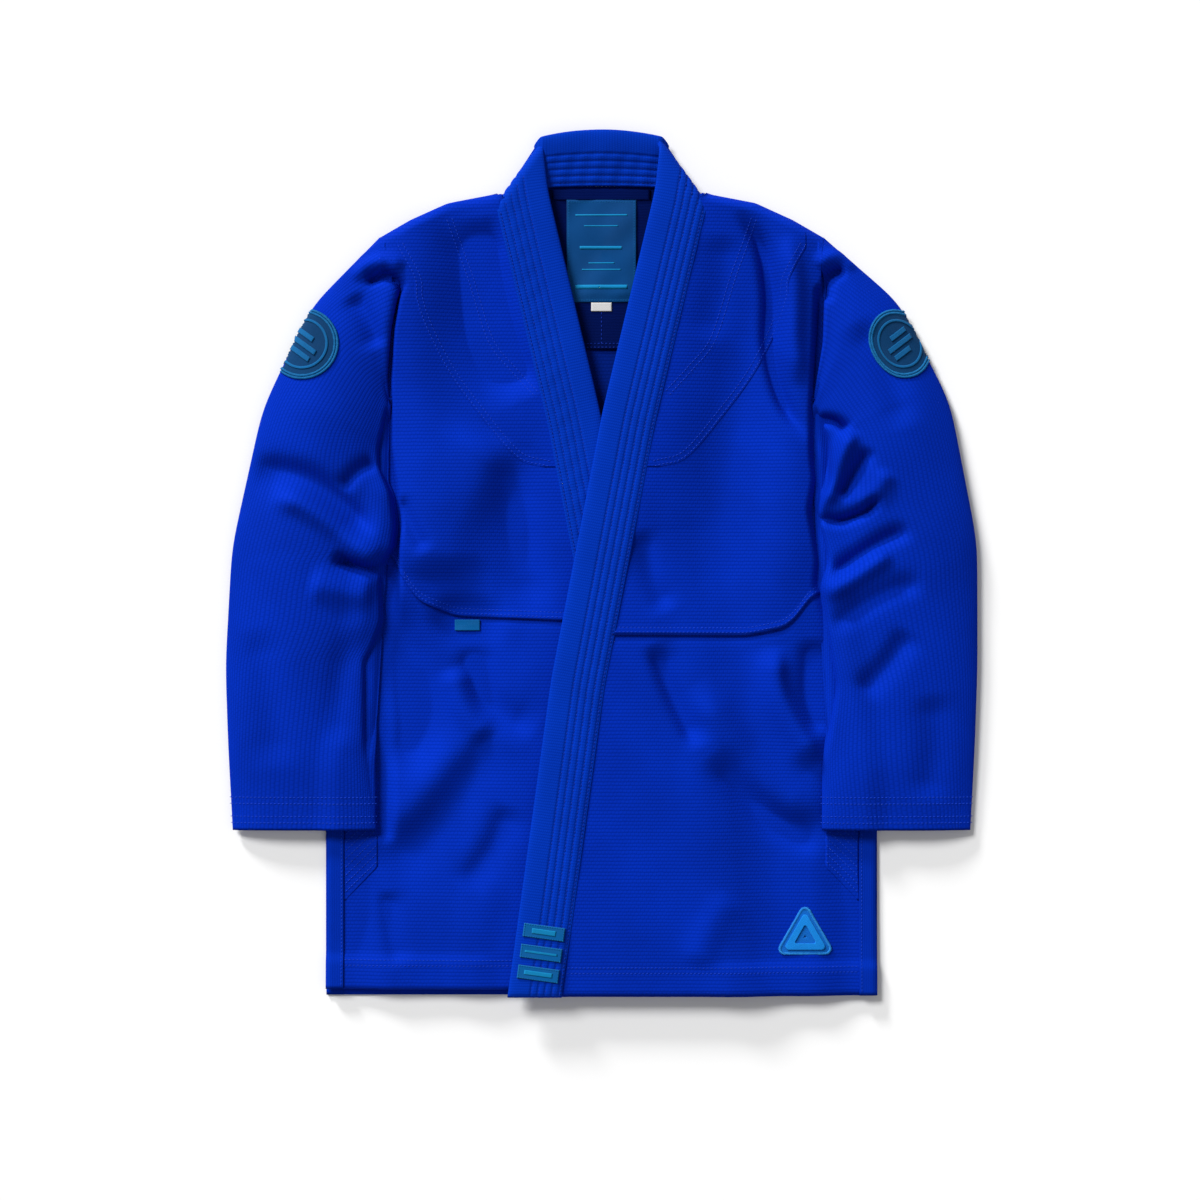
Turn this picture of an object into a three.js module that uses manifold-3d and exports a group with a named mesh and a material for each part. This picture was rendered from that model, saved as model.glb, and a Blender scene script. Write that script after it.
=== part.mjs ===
// Martial arts jacket of heavy woven cotton, lying flat on its back with the left front over
// the right. Millimetres, +Z up from the floor, +Y towards the collar, +X towards the wearer's
// left. The origin is on the floor under the middle of the jacket. Every piece of a front or a
// sleeve is drawn with x growing outwards from the middle, and mirrored for the wearer's right.
import * as THREE from 'three';
import { mergeVertices } from 'three/addons/utils/BufferGeometryUtils.js';
import Module from 'manifold-3d';

const wasm = await Module();
wasm.setup();

// ---- driving dimensions -------------------------------------------------------------------
const jacket_length = 796;      // collar top to the left front's hem
const sleeve_span = 688;        // across both sleeves as they lie
const hem_width = 505;          // across the hem, vent to vent
const shoulder_width = 406;     // between the tops of the armholes
const chest_width = 386;        // between the armpits
const shoulder_drop = 101;      // collar top down to the tops of the armholes
const armhole_depth = 146;      // top of the armhole down to the armpit
const vent_length = 208;        // side slits, up from the hem
const back_waist = 336;         // waist seam of the back, above the hem

const cloth = 2.2;              // body cloth, pressed
const lining = 1.2;             // yoke, patches and reinforcements
const satin = 0.6;              // label cloth
const hem_thickness = 2.8;      // cloth turned under at the hems and vents
const gap = 0.3;                // clearance between pieces that touch

const body_cavity = 6.8;        // room between the back and the right lapel
const band_width = 50;          // collar and lapel band
const band_thickness = 7;
const band_wall = 1.2;          // cloth wrapped round the band's core
const tuck = 8;                 // how far a front's edge reaches into its band
const collar_height = 56;       // band that shows at the back of the neck
const collar_top_width = 108;   // between the corners where the band turns over
const turn_thickness = 7;       // band as it stands where it turns over to the front
const neck_half = 49;           // middle of the neck to a lapel's inner edge
const cross_drop = 204;         // neck seam down to where the lapels' inner edges cross
const lapel_reach = 86;         // how far a lapel's inner edge ends past the middle, at the hem

const level_margin = 6;         // level strip outside a lapel and a front's fold line
const hem_depth = 25;
const vent_tape_width = 16;
const sleeve_height = 32;       // fullest height of a sleeve as it lies
const sleeve_wall = 2.6;
const sleeve_end = 152;         // cuff above the hem
const elbow_height = 303;       // widest point of the sleeves above the hem
const cuff_inset = 6.5;         // cuff's outer corner, in from the widest point
const side_overlap = 44;        // how far a sleeve lies over the side of the body, at the cuff
const cuff_depth = 24;          // tape inside the cuff

const yoke_depth = 147;         // lining inside the back, down from the neck
const neck_tape_size = [90, 9];
const label_size = [64, 94];
const size_tag_size = [19, 8];
const waist_tab_size = [23, 10];
const waist_tab_place = 2;      // outside the foot of the right front's slope
const bar_size = [38, 13];      // woven bars on the lapel's lower end
const bar_pitch = 19;
const bar_count = 3;
const triangle_side = 54;       // patch above the hem
const triangle_corner = 5;
const triangle_place = [66, 54];     // in from the side, up from the hem
const gusset_size = [31, 145];  // reinforcement beside the top of a vent
const gusset_rise = 87;         // its lower edge above the hem
const roundel_radius = 33;      // patch at the top of a sleeve
const roundel_place = [69, 98]; // out and down from the top of the armhole

// ---- levels and places that follow from them ------------------------------------------------
const point = (x, y) => new THREE.Vector2(x, y);
const reach = jacket_length + sleeve_span;        // further out than any piece
const top = jacket_length / 2;
const hem = -jacket_length / 2;
const hem_x = hem_width / 2;
const neck_y = top - collar_height;
const vent_y = hem + vent_length;
const cuff_y = hem + sleeve_end;
const elbow = point(sleeve_span / 2, hem + elbow_height);
const shoulder = point(shoulder_width / 2, top - shoulder_drop);
const armpit = point(chest_width / 2, shoulder.y - armhole_depth);

const front_z = cloth + gap;                      // underside of the fronts beside the seams
const trim_z = front_z + cloth + gap;             // underside of what is sewn on top there
const sleeve_z = trim_z + lining + gap;
const yoke_z = cloth + gap;
const label_z = yoke_z + lining + gap;

// The two fronts differ in their level, in where they fold open, and in how high they lie.
const right = {
  sign: -1,
  name: 'right',
  band_z: cloth + body_cavity,
  fold_hem: 75,                 // fold line to the middle, at the hem
  slope: 18,                    // width of the slope down to the side
  hem: hem + 6,
  waist: hem + 345,
};
const left = {
  sign: 1,
  name: 'left',
  band_z: right.band_z + band_thickness + gap,
  fold_hem: 155,
  slope: 40,
  hem,
  waist: hem + 331,
};
const band_top = (side) => side.band_z + band_thickness;
const panel_z = (side) => side.band_z + (band_thickness - cloth) / 2;

// ---- solids -----------------------------------------------------------------------------------
function solid(shape) {
  const bare = shape.clone();
  bare.deleteAttribute('normal');
  bare.deleteAttribute('uv');
  const merged = mergeVertices(bare, 1e-4);
  return new wasm.Manifold(new wasm.Mesh({
    numProp: 3,
    vertProperties: new Float32Array(merged.attributes.position.array),
    triVerts: new Uint32Array(merged.index.array),
  }));
}

function geometry(body) {
  const mesh = body.getMesh();
  const result = new THREE.BufferGeometry();
  result.setAttribute('position', new THREE.BufferAttribute(mesh.vertProperties, 3));
  result.setIndex(new THREE.BufferAttribute(mesh.triVerts, 1));
  return result;
}

function mirrored(shape) {
  const result = shape.applyMatrix4(new THREE.Matrix4().makeScale(-1, 1, 1));
  const index = result.index.array;
  for (let i = 0; i < index.length; i += 3) [index[i], index[i + 1]] = [index[i + 1], index[i]];
  return result;
}

// An outline made upright between two heights.
function prism(outline, low = -reach, high = reach) {
  const options = { depth: high - low, bevelEnabled: false };
  const upright = new THREE.ExtrudeGeometry(new THREE.Shape(outline), options);
  return solid(upright.translate(0, 0, low));
}

const box = (x0, y0, x1, y1, low, high) =>
  prism([point(x0, y0), point(x1, y0), point(x1, y1), point(x0, y1)], low, high);

// Rings with as many points each, joined one to the next and closed at both ends.
function loft(rings) {
  const count = rings[0].length;
  const index = [];
  for (let start = 0; start < (rings.length - 1) * count; start += count) {
    for (let i = 0; i < count; i++) {
      const a = start + i;
      const b = start + (i + 1) % count;
      index.push(a, b + count, b, a, a + count, b + count);
    }
  }
  const last = (rings.length - 1) * count;
  for (let i = 1; i + 1 < count; i++) index.push(0, i, i + 1, last, last + i + 1, last + i);
  const shape = new THREE.BufferGeometry().setFromPoints(rings.flat());
  shape.setIndex(index);
  return solid(shape);
}

// A line moved sideways, to its left as it runs.
function beside(line, distance) {
  return line.map((here, i) => {
    const before = here.clone().sub(line[Math.max(i - 1, 0)]).normalize();
    const after = line[Math.min(i + 1, line.length - 1)].clone().sub(here).normalize();
    const along = before.add(after).normalize();
    return point(here.x - along.y * distance, here.y + along.x * distance);
  });
}

const strip = (line, from, to) => [...beside(line, from), ...beside(line, to).reverse()];

// Everything to the left of a straight line (side 1) or to its right (side -1).
function half(from, to, shift, side) {
  const along = to.clone().sub(from).setLength(reach);
  return prism(strip([from.clone().sub(along), to.clone().add(along)], shift, side * reach));
}

const above = (y) => half(point(0, y), point(1, y), 0, 1);

// ---- lines of the pattern, x outwards -----------------------------------------------------------
const turn_top = point(collar_top_width / 2, top - 10);
const lapel_neck = point(neck_half, neck_y - 2);
const lapel_cross = point(1, neck_y - cross_drop);
const lapel_edge = [lapel_neck, lapel_cross, point(-46, hem + 291), point(-lapel_reach, hem)];
const past_hem = lapel_edge[3].clone().multiplyScalar(2).sub(lapel_edge[2]);
const past_turn = turn_top.clone().multiplyScalar(2).sub(lapel_neck);
const band_line = [past_turn, turn_top, ...lapel_edge, past_hem];
const turn_end = beside([lapel_neck, lapel_edge[1]], band_width)[0];
const turn_neck = turn_top.clone().lerp(turn_end, (turn_top.y - neck_y) / (turn_top.y - turn_end.y));
const neck_point = turn_end.clone().add(point(0, 8));
const shoulder_line = [neck_point, neck_point.clone().add(point(43, -9)), shoulder];
const waist_side = point((chest_width + hem_width) / 4 + 3, hem + 358);
const side_line = [armpit, waist_side, point(hem_x, vent_y), point(hem_x, hem)];
const fold_top = point(neck_half - 1, neck_y - 9);
const fold_end = (side) => point(side.fold_hem, hem);
const slope_start = (side) =>
  [point(turn_end.x + level_margin, fold_top.y), point(side.fold_hem + level_margin, hem)];

const turn_line = [turn_top, turn_end];
const turn_run = [-0.02, 1.02].map((along) => turn_top.clone().lerp(turn_end, along));
const turned_band = prism(strip(turn_run, gap, -turn_thickness - gap));

// The waist seam runs level and lifts towards the sides.
function waist_half(y, shift, side) {
  const rise = [point(140, y), point(168, y + 20), point(186, y + 48)];
  const seam = [point(-reach, y), ...rise, point(reach, y + 48)];
  return prism([...beside(seam, shift), point(reach, side * reach), point(-reach, side * reach)]);
}

const vent_inner = hem_x - vent_tape_width;
const inside_hems = (low) => half(point(vent_inner - gap, 0), point(vent_inner - gap, 1), 0, 1)
  .intersect(above(low + hem_depth + gap)).add(above(vent_y + gap));

// ---- fronts and lapels ----------------------------------------------------------------------
// Cloth laid over one front: level past its fold line, then down to the back and level again.
function front_layer(side, lift, thickness) {
  const [start, end] = slope_start(side);
  const along = end.clone().sub(start).normalize();
  const line = [point(-reach, panel_z(side)), point(0, panel_z(side)), point(side.slope, front_z),
    point(reach, front_z)];
  const raised = (rise) => line.map((p) => point(p.x, p.y + rise));
  const section = new THREE.Shape([...raised(lift), ...raised(lift + thickness).reverse()]);
  const shape = new THREE.ExtrudeGeometry(section, { depth: 2 * reach, bevelEnabled: false });
  const across = new THREE.Vector3(-along.y, along.x, 0);
  const up = new THREE.Vector3(0, 0, 1);
  shape.translate(0, 0, -reach);
  shape.applyMatrix4(new THREE.Matrix4().makeBasis(across, up, across.clone().cross(up)));
  return solid(shape.translate(start.x, start.y, 0)).subtract(turned_band);
}

const tucked_edge = beside([...lapel_edge, past_hem], band_width - tuck);
const front_outline = prism([...tucked_edge, point(hem_x, past_hem.y), ...side_line.toReversed(),
  ...shoulder_line.toReversed()]);

// A stretch of the lapel's band between two distances from its inner edge.
const band = (from, to, low, high) => prism(strip(band_line, from, to), low, high);
const short_of_turn = (clearance) => half(turn_top, turn_end, -turn_thickness - clearance, -1);

const fixed_half = (side) => half(fold_top, fold_end(side), gap / 2, 1);

function front(side) {
  const low = side.band_z;
  const high = band_top(side);
  const panel = front_layer(side, 0, cloth).intersect(front_outline);
  const turned = front_layer(side, 0, hem_thickness);
  const mouth = band(band_wall, 2 * band_width, low + band_wall, high - band_wall);
  const pieces = {
    chest: panel.intersect(waist_half(side.waist, gap / 2, 1)),
    skirt: panel.intersect(waist_half(side.waist, -gap / 2, -1)).intersect(inside_hems(side.hem)),
    hem: turned.intersect(front_outline)
      .intersect(box(-reach, side.hem, vent_inner - gap, side.hem + hem_depth, -reach, reach)),
    lapel_cover: band(0, band_width, low, high).subtract(mouth).intersect(short_of_turn(gap))
      .intersect(above(side.hem)),
    lapel_core: band(band_wall + gap, band_width - tuck - gap, low + band_wall + gap, high - band_wall - gap)
      .intersect(short_of_turn(band_wall + gap)).intersect(above(side.hem + band_wall)),
  };
  const finish = { chest: 'cloth', skirt: 'cloth', hem: 'cloth', lapel_cover: 'band', lapel_core: 'core' };
  const flap = half(fold_top, fold_end(side), -gap / 2, -1);
  for (const [name, body] of Object.entries(pieces)) {
    add(`${name}_${side.name}_side`, body.intersect(fixed_half(side)), finish[name], side);
    add(`${name}_${side.name}_flap`, body.intersect(flap), finish[name], side);
  }
  const vent = turned.intersect(box(vent_inner, side.hem, hem_x, vent_y, -reach, reach));
  add(`vent_tape_front_${side.name}`, vent, 'tape', side);
  const trim = front_layer(side, cloth + gap, lining);
  add(`shoulder_patch_${side.name}`, trim.intersect(shoulder_patch(side)), 'cloth', side);
  add(`vent_gusset_${side.name}`, trim.intersect(vent_gusset()), 'tape', side);
  return trim;
}

// Reinforcement over the shoulder, from the lapel to a curve across the chest.
function shoulder_patch(side) {
  const from_shoulder = [[-16, -10], [-33, -45], [-62, -123], [-124, -201], [-159, -213]];
  const curve = new THREE.SplineCurve(from_shoulder.map(([x, y]) => point(shoulder.x + x, shoulder.y + y)));
  const edge = curve.getPoints(12);
  const outline = [...edge, point(-reach, edge.at(-1).y), point(-reach, reach), point(edge[0].x, reach)];
  const lapel_side = beside(band_line, band_width + gap);
  const lapel = prism([...lapel_side, point(-reach, past_hem.y), point(-reach, past_turn.y)]);
  return prism(outline).intersect(front_outline).subtract(lapel).intersect(fixed_half(side));
}

function vent_gusset() {
  const x = vent_inner - gap;
  const y = hem + gusset_rise;
  const [width, height] = gusset_size;
  const far = x - width;
  return prism([point(x, y), point(x, y + height), point(far, y + height - width), point(far, y + width)]);
}

// ---- back and collar ----------------------------------------------------------------------------
function both_ways(body) {
  return body.add(solid(mirrored(geometry(body))));
}

function back() {
  const neck_edge = [point(-1, neck_y - gap), point(turn_neck.x, neck_y - gap)];
  const outline = prism([...neck_edge, ...shoulder_line, ...side_line, point(-1, hem)], 0, cloth);
  const whole = both_ways(outline.subtract(turned_band));
  const inside = inside_hems(hem);
  const seam_up = waist_half(hem + back_waist, gap / 2, 1);
  const seam_down = waist_half(hem + back_waist, -gap / 2, -1).intersect(inside);
  add('back_panel', whole.intersect(seam_up).intersect(solid(mirrored(geometry(seam_up)))), 'cloth');
  const skirt = both_ways(outline.intersect(seam_down).intersect(half(point(0, 0), point(0, 1), 1, -1)));
  add('back_skirt', skirt, 'cloth');
  add('hem_back', box(gap - vent_inner, hem, vent_inner - gap, hem + hem_depth, 0, cloth), 'cloth');
  for (const side of [left, right]) {
    add(`vent_tape_back_${side.name}`, box(vent_inner, hem, hem_x, vent_y, 0, cloth), 'tape', side);
  }
  const yoke_x = turn_neck.x - turn_thickness;
  const yoke = box(-1, neck_y - gap - yoke_depth, yoke_x, neck_y - gap, yoke_z, yoke_z + lining);
  add('back_yoke', both_ways(yoke.subtract(turned_band)), 'cloth');
}

function collar() {
  const corner = point(turn_top.x - 4, top);
  const outline = [point(-1, top), corner, turn_top, turn_neck, point(-1, neck_y)];
  const inner = (inset) => prism([point(-1, top - inset), corner.clone().add(point(-inset, -inset)),
    turn_neck.clone().add(point(0, -band_thickness)), point(-1, neck_y - band_thickness)],
  inset, band_thickness - inset).intersect(short_of_turn(inset));
  const hollow = both_ways(inner(band_wall));
  const turn = (side) => prism(strip(turn_line, 0, -turn_thickness), 0, band_top(side));
  const cover = both_ways(prism(outline, 0, band_thickness)).subtract(hollow)
    .add(turn(left)).add(solid(mirrored(geometry(turn(right)))));
  add('collar_cover', cover, 'band');
  add('collar_core', both_ways(inner(band_wall + gap)).intersect(above(neck_y + gap)), 'core');
}

// ---- labels, tabs and patches -----------------------------------------------------------------
function labels() {
  const [tape_width, tape_depth] = neck_tape_size;
  const tape_y = neck_y - gap - tape_depth;
  const centred = (width, low, depth, thickness) =>
    box(-width / 2, low, width / 2, low + depth, label_z, label_z + thickness);
  add('neck_tape', centred(tape_width, tape_y, tape_depth, lining), 'tape');
  const [label_width, label_depth] = label_size;
  const label_y = tape_y - gap - label_depth;
  add('neck_label', centred(label_width, label_y, label_depth, satin), 'satin');
  const [tag_width, tag_depth] = size_tag_size;
  add('size_tag', centred(tag_width, label_y - gap - tag_depth, tag_depth, satin), 'tag');
  const [tab_width, tab_depth] = waist_tab_size;
  const [start, end] = slope_start(right);
  const foot = start.clone().lerp(end, (start.y - right.waist) / (start.y - end.y)).x + right.slope;
  const tab_x = foot + waist_tab_place;
  const tab = box(tab_x, right.waist - tab_depth, tab_x + tab_width, right.waist, trim_z, trim_z + lining);
  add('waist_tab', tab, 'satin', right);
}

// Bars square to the lapel, one above the other from its lower end.
function lapel_bars() {
  const [bar_width, bar_depth] = bar_size;
  const down = lapel_edge[3].clone().sub(lapel_edge[2]).normalize();
  const margin = (band_width - bar_width) / 2;
  const low = band_top(left) + gap;
  for (let i = 0; i < bar_count; i++) {
    const y = hem + bar_pitch * (i + 1);
    const inner = lapel_edge[3].clone().addScaledVector(down, (y - hem) / down.y);
    const start = inner.clone().addScaledVector(down, -bar_depth);
    const outline = strip([start, inner], margin, margin + bar_width);
    add(`lapel_bar_${i + 1}`, prism(outline, low, low + lining), 'satin', left);
  }
}

function triangle_patch(trim) {
  const corner = triangle_side / Math.sqrt(3) - 2 * triangle_corner;
  const [inset, rise] = triangle_place;
  const shape = new THREE.Shape();
  for (let i = 0; i < 3; i++) {
    const angle = Math.PI / 2 + i * 2 * Math.PI / 3;
    const x = hem_x - inset + corner * Math.cos(angle);
    const y = hem + rise + corner * Math.sin(angle);
    shape.absarc(x, y, triangle_corner, angle - Math.PI / 3, angle + Math.PI / 3);
  }
  add('skirt_patch', trim.intersect(prism(shape.getPoints(6))), 'patch', left);
}

// ---- sleeves --------------------------------------------------------------------------------
// Each section stands upright between a point of the sleeve's inner edge and one of its outer edge.
const cuff_outer = point(elbow.x - cuff_inset, cuff_y);
const cuff_inner = point(hem_x - side_overlap, cuff_y);
const outer_arm = new THREE.CubicBezierCurve(shoulder, shoulder.clone().add(point(95, -61)),
  elbow.clone().add(point(2, 165)), elbow);
const sleeve_sections = [
  { inner: armpit, outer: shoulder, fullness: 0.6 },
  { inner: armpit.clone().add(point(5, -11)), outer: outer_arm.getPoint(0.25), fullness: 0.8 },
  { inner: armpit.clone().add(point(4, -46)), outer: outer_arm.getPoint(0.5), fullness: 0.95 },
  { inner: armpit.clone().add(point(3, -131)), outer: outer_arm.getPoint(0.78), fullness: 1 },
  { inner: point(cuff_inner.x + 5, elbow.y), outer: elbow, fullness: 1 },
  { inner: cuff_inner.clone().add(point(0, 76)), outer: cuff_outer.clone().add(point(4, 76)), fullness: 0.9 },
  { inner: cuff_inner, outer: cuff_outer, fullness: 0.75 },
];

function section({ inner, outer, fullness }, grow, shift = point(0, 0)) {
  const low = sleeve_z - grow;
  const high = sleeve_z + sleeve_height * fullness + grow;
  const across = outer.clone().sub(inner).normalize();
  const width = outer.distanceTo(inner);
  const bevel = 0.45 * sleeve_height * fullness;
  const side_low = low + 0.35 * (high - low);
  const side_high = high - 0.35 * (high - low);
  const around = [[-grow, side_low], [-grow, side_high], [bevel, high], [width - bevel, high],
    [width + grow, side_high], [width + grow, side_low], [width - bevel, low], [bevel, low]];
  return around.map(([u, z]) =>
    new THREE.Vector3(inner.x + across.x * u + shift.x, inner.y + across.y * u + shift.y, z));
}

// The sleeve's form grown outwards, or inwards, and run on past its ends by a length.
function sleeve_form(grow, overrun = 0) {
  const rings = sleeve_sections.map((each, i) => section(each, grow, point(i ? 0 : gap, 0)));
  if (overrun) {
    rings.unshift(section(sleeve_sections[0], grow, point(-overrun, 0)));
    rings.push(section(sleeve_sections.at(-1), grow, point(0, -overrun)));
  }
  return loft(rings);
}

function sleeve(side) {
  const far = 5;
  add(`sleeve_${side.name}`, sleeve_form(0).subtract(sleeve_form(-sleeve_wall, far)), 'cloth', side);
  const within = -sleeve_wall - gap;
  const cuff = sleeve_form(within, far).subtract(sleeve_form(within - lining, 2 * far))
    .intersect(box(0, cuff_y, reach, cuff_y + cuff_depth, -reach, reach));
  add(`cuff_tape_${side.name}`, cuff, 'tape', side);
  const [out, down] = roundel_place;
  const disc = new THREE.CylinderGeometry(roundel_radius, roundel_radius, reach, 40).rotateX(Math.PI / 2);
  disc.translate(shoulder.x + out, shoulder.y - down, reach / 2 + sleeve_z + sleeve_height / 2);
  const roundel = sleeve_form(gap + lining).subtract(sleeve_form(gap, far)).intersect(solid(disc));
  add(`roundel_${side.name}`, roundel, 'patch', side);
}

// ---- the jacket -------------------------------------------------------------------------------
const jacket = new THREE.Group();
const finishes = {
  cloth: { color: 0x0a2f9c, roughness: 0.92, metalness: 0 },
  band: { color: 0x0d3bb0, roughness: 0.9, metalness: 0 },
  tape: { color: 0x0b35a6, roughness: 0.85, metalness: 0 },
  core: { color: 0xd8d4c8, roughness: 0.8, metalness: 0 },
  satin: { color: 0x0b6fae, roughness: 0.45, metalness: 0 },
  tag: { color: 0xf0f0ee, roughness: 0.5, metalness: 0 },
  patch: { color: 0x1484c4, roughness: 0.7, metalness: 0 },
};

function add(name, body, finish, side = left) {
  const shape = side.sign < 0 ? mirrored(geometry(body)) : geometry(body);
  const material = new THREE.MeshStandardMaterial({ ...finishes[finish], flatShading: true });
  const mesh = new THREE.Mesh(shape, material);
  mesh.name = name;
  jacket.add(mesh);
}

back();
collar();
labels();
triangle_patch(front(left));
front(right);
lapel_bars();
sleeve(left);
sleeve(right);

export default jacket;
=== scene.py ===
"""Martial arts jacket of heavy pearl-weave cotton, lying flat on its back, left front over right.

Lengths in the making are millimetres, with x growing outwards from the middle on either side of
the jacket, and each piece is turned to metres and to its own side as its mesh is made.
"""
import math

import bpy
import numpy as np
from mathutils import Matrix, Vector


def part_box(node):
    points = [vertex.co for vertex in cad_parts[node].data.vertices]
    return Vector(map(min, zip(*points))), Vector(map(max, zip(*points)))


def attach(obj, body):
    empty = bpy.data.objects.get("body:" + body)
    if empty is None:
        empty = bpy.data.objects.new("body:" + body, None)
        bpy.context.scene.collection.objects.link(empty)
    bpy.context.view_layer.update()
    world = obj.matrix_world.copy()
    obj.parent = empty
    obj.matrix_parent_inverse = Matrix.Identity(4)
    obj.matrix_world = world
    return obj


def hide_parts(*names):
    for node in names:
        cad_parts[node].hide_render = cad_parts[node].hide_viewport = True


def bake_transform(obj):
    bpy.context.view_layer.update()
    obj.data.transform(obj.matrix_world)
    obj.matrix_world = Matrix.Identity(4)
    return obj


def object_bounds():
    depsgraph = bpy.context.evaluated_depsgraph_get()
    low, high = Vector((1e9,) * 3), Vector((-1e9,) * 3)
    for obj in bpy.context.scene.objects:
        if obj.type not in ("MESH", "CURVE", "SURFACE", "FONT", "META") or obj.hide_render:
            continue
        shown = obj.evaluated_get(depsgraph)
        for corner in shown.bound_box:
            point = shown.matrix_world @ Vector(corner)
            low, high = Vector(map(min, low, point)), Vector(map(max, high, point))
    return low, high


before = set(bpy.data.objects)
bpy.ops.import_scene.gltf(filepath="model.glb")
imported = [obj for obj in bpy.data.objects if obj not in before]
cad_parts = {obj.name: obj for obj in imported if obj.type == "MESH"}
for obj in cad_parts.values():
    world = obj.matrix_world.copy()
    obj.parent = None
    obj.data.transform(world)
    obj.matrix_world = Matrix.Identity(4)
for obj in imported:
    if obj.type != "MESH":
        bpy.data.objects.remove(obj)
cad_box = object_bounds()
MM = 0.001


# ---- sizes from the frame ---------------------------------------------------------------------
def box(node):
    low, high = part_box(node)
    return np.array(low) / MM, np.array(high) / MM


HEM = box("hem_back")[0][1]
TOP = box("collar_cover")[1][1]
NECK = box("neck_tape")[1][1] + 0.3                         # seam between the back and the collar
VENT_X, HEM_X = [corner[0] for corner in box("vent_tape_back_left")]
VENT_Y = box("vent_tape_back_left")[1][1]
SHOULDER = np.array([203.0, box("sleeve_left")[1][1]])      # top of the armhole
ARMPIT = np.array([box("sleeve_left")[0][0], SHOULDER[1] - 146])
CUFF_Y = box("sleeve_left")[0][1]
CLOTH = box("hem_back")[1][2]
HALF = CLOTH / 2
BAND = 50.0                     # width of the collar and lapel band
BAND_THICK = 7.0
TUCK = 43.2                     # from the band's inner edge to the start of the cloth tucked under it
JOIN_Y = 258.0                  # above this the sleeve is smooth with the shoulder, with no hollow between

# Each side of the jacket: the undersides of its band and the ends of its cloth, where its front folds
# open at the hem, how far its cloth slopes down from the band, how far it takes to fall into the hollow
# beside the sleeve, and the sleeve to rise from its seam.
LEFT = {
    "name": "left", "sign": 1, "front": "front_left", "sleeve": "sleeve_left",
    "band": box("lapel_cover_left_flap")[0][2], "hem": box("hem_left_flap")[0][1],
    "waist": box("skirt_left_flap")[1][1], "fold_hem": 155.0, "slope": 84.0, "fall": 9.0, "rise": 6.0,
}
RIGHT = {
    "name": "right", "sign": -1, "front": "front_right", "sleeve": "sleeve_right",
    "band": box("lapel_cover_right_flap")[0][2], "hem": box("hem_right_flap")[0][1],
    "waist": box("skirt_right_flap")[1][1], "fold_hem": 75.0, "slope": 60.0, "fall": 4.0, "rise": 13.0,
}
SIDES = (LEFT, RIGHT)
TAB = (-box("waist_tab")[0][0] - 11.5, box("waist_tab")[1][1] - 3)      # middle of the tab, x outwards
SIDE_LEVEL = CLOTH + 0.3 + HALF
for side in SIDES:
    side["panel"] = side["band"] + BAND_THICK / 2


# ---- lines of the pattern ---------------------------------------------------------------------
def smooth(t):
    t = np.clip(t, 0, 1)
    return t * t * (3 - 2 * t)


def round_edge(t):
    """Quarter circle: 0 at an edge, 1 where t is 1 and past it."""
    return np.sqrt(np.clip(1 - np.square(1 - np.clip(t, 0, 1)), 0, 1))


def eased(at, values, radius, step=1.0):
    """A line through values, with its corners rounded over a radius of the variable that it follows."""
    at, values = np.array(at, float), np.array(values, float)
    if at[0] > at[-1]:
        at, values = at[::-1], values[::-1]
    count = int(3 * radius / step) + 1
    dense = np.arange(at[0] - 40 * step, at[-1] + 41 * step, step)
    line = np.interp(dense, at, values)
    before, past = dense < at[0], dense > at[-1]
    line[before] = values[0] + (dense[before] - at[0]) * (values[1] - values[0]) / (at[1] - at[0])
    line[past] = values[-1] + (dense[past] - at[-1]) * (values[-1] - values[-2]) / (at[-1] - at[-2])
    kernel = np.exp(-np.square(np.arange(-count, count + 1) * step / radius))
    padded = np.pad(line, count, mode="reflect", reflect_type="odd")
    line = np.convolve(padded, kernel / kernel.sum(), "valid")
    return lambda x: np.interp(x, dense, line)


TURN_TOP = np.array([54.0, TOP - 10])
TURN_END = np.array([97.6, TOP - 69.3])
LAPEL_LINE = [(54, TOP - 10), (49, NECK - 2), (1, NECK - 204), (-46, HEM + 291), (-86, HEM)]
lapel_x = eased([y for _, y in LAPEL_LINE], [x for x, _ in LAPEL_LINE], 12)
side_x = eased([SHOULDER[1], ARMPIT[1], HEM + 358, VENT_Y, VENT_Y - 40, HEM],
               [SHOULDER[0], ARMPIT[0], 226, HEM_X, HEM_X, HEM_X], 7)
SHOULDER_LINE = [(97.6, NECK - 5.3), (141, NECK - 13.5), (175, NECK - 29), tuple(SHOULDER)]
shoulder_x = eased([y for _, y in SHOULDER_LINE], [x for x, _ in SHOULDER_LINE], 2, 0.25)
LEFT["waist_y"] = eased([-20, 134, 168, 180, 190, 260], [-67, -68, -61, -50, -33, -6], 7)
RIGHT["waist_y"] = eased([-20, 60, 134, 168, 183, 190, 260], [-56, -53, -50, -36, -14, 6, 40], 7)
# Edges of the reinforcement and of the yoke over a shoulder, from the armhole's top.
PATCH_EDGE = [(-16, -10), (-31, -38), (-33, -57), (-42, -84), (-62, -123), (-88, -159), (-124, -201),
              (-153, -211)]
YOKE_SEAM = [(-64, 16), (-75, -15), (-83, -37), (-101, -93), (-121, -119), (-142, -142)]


def out_x(y):
    return np.where(y > SHOULDER[1], shoulder_x(y), side_x(y))


def tuck_x(y):
    return lapel_x(y) + TUCK


def from_shoulder(points):
    return [(SHOULDER[0] + x, SHOULDER[1] + y) for x, y in points]


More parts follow.
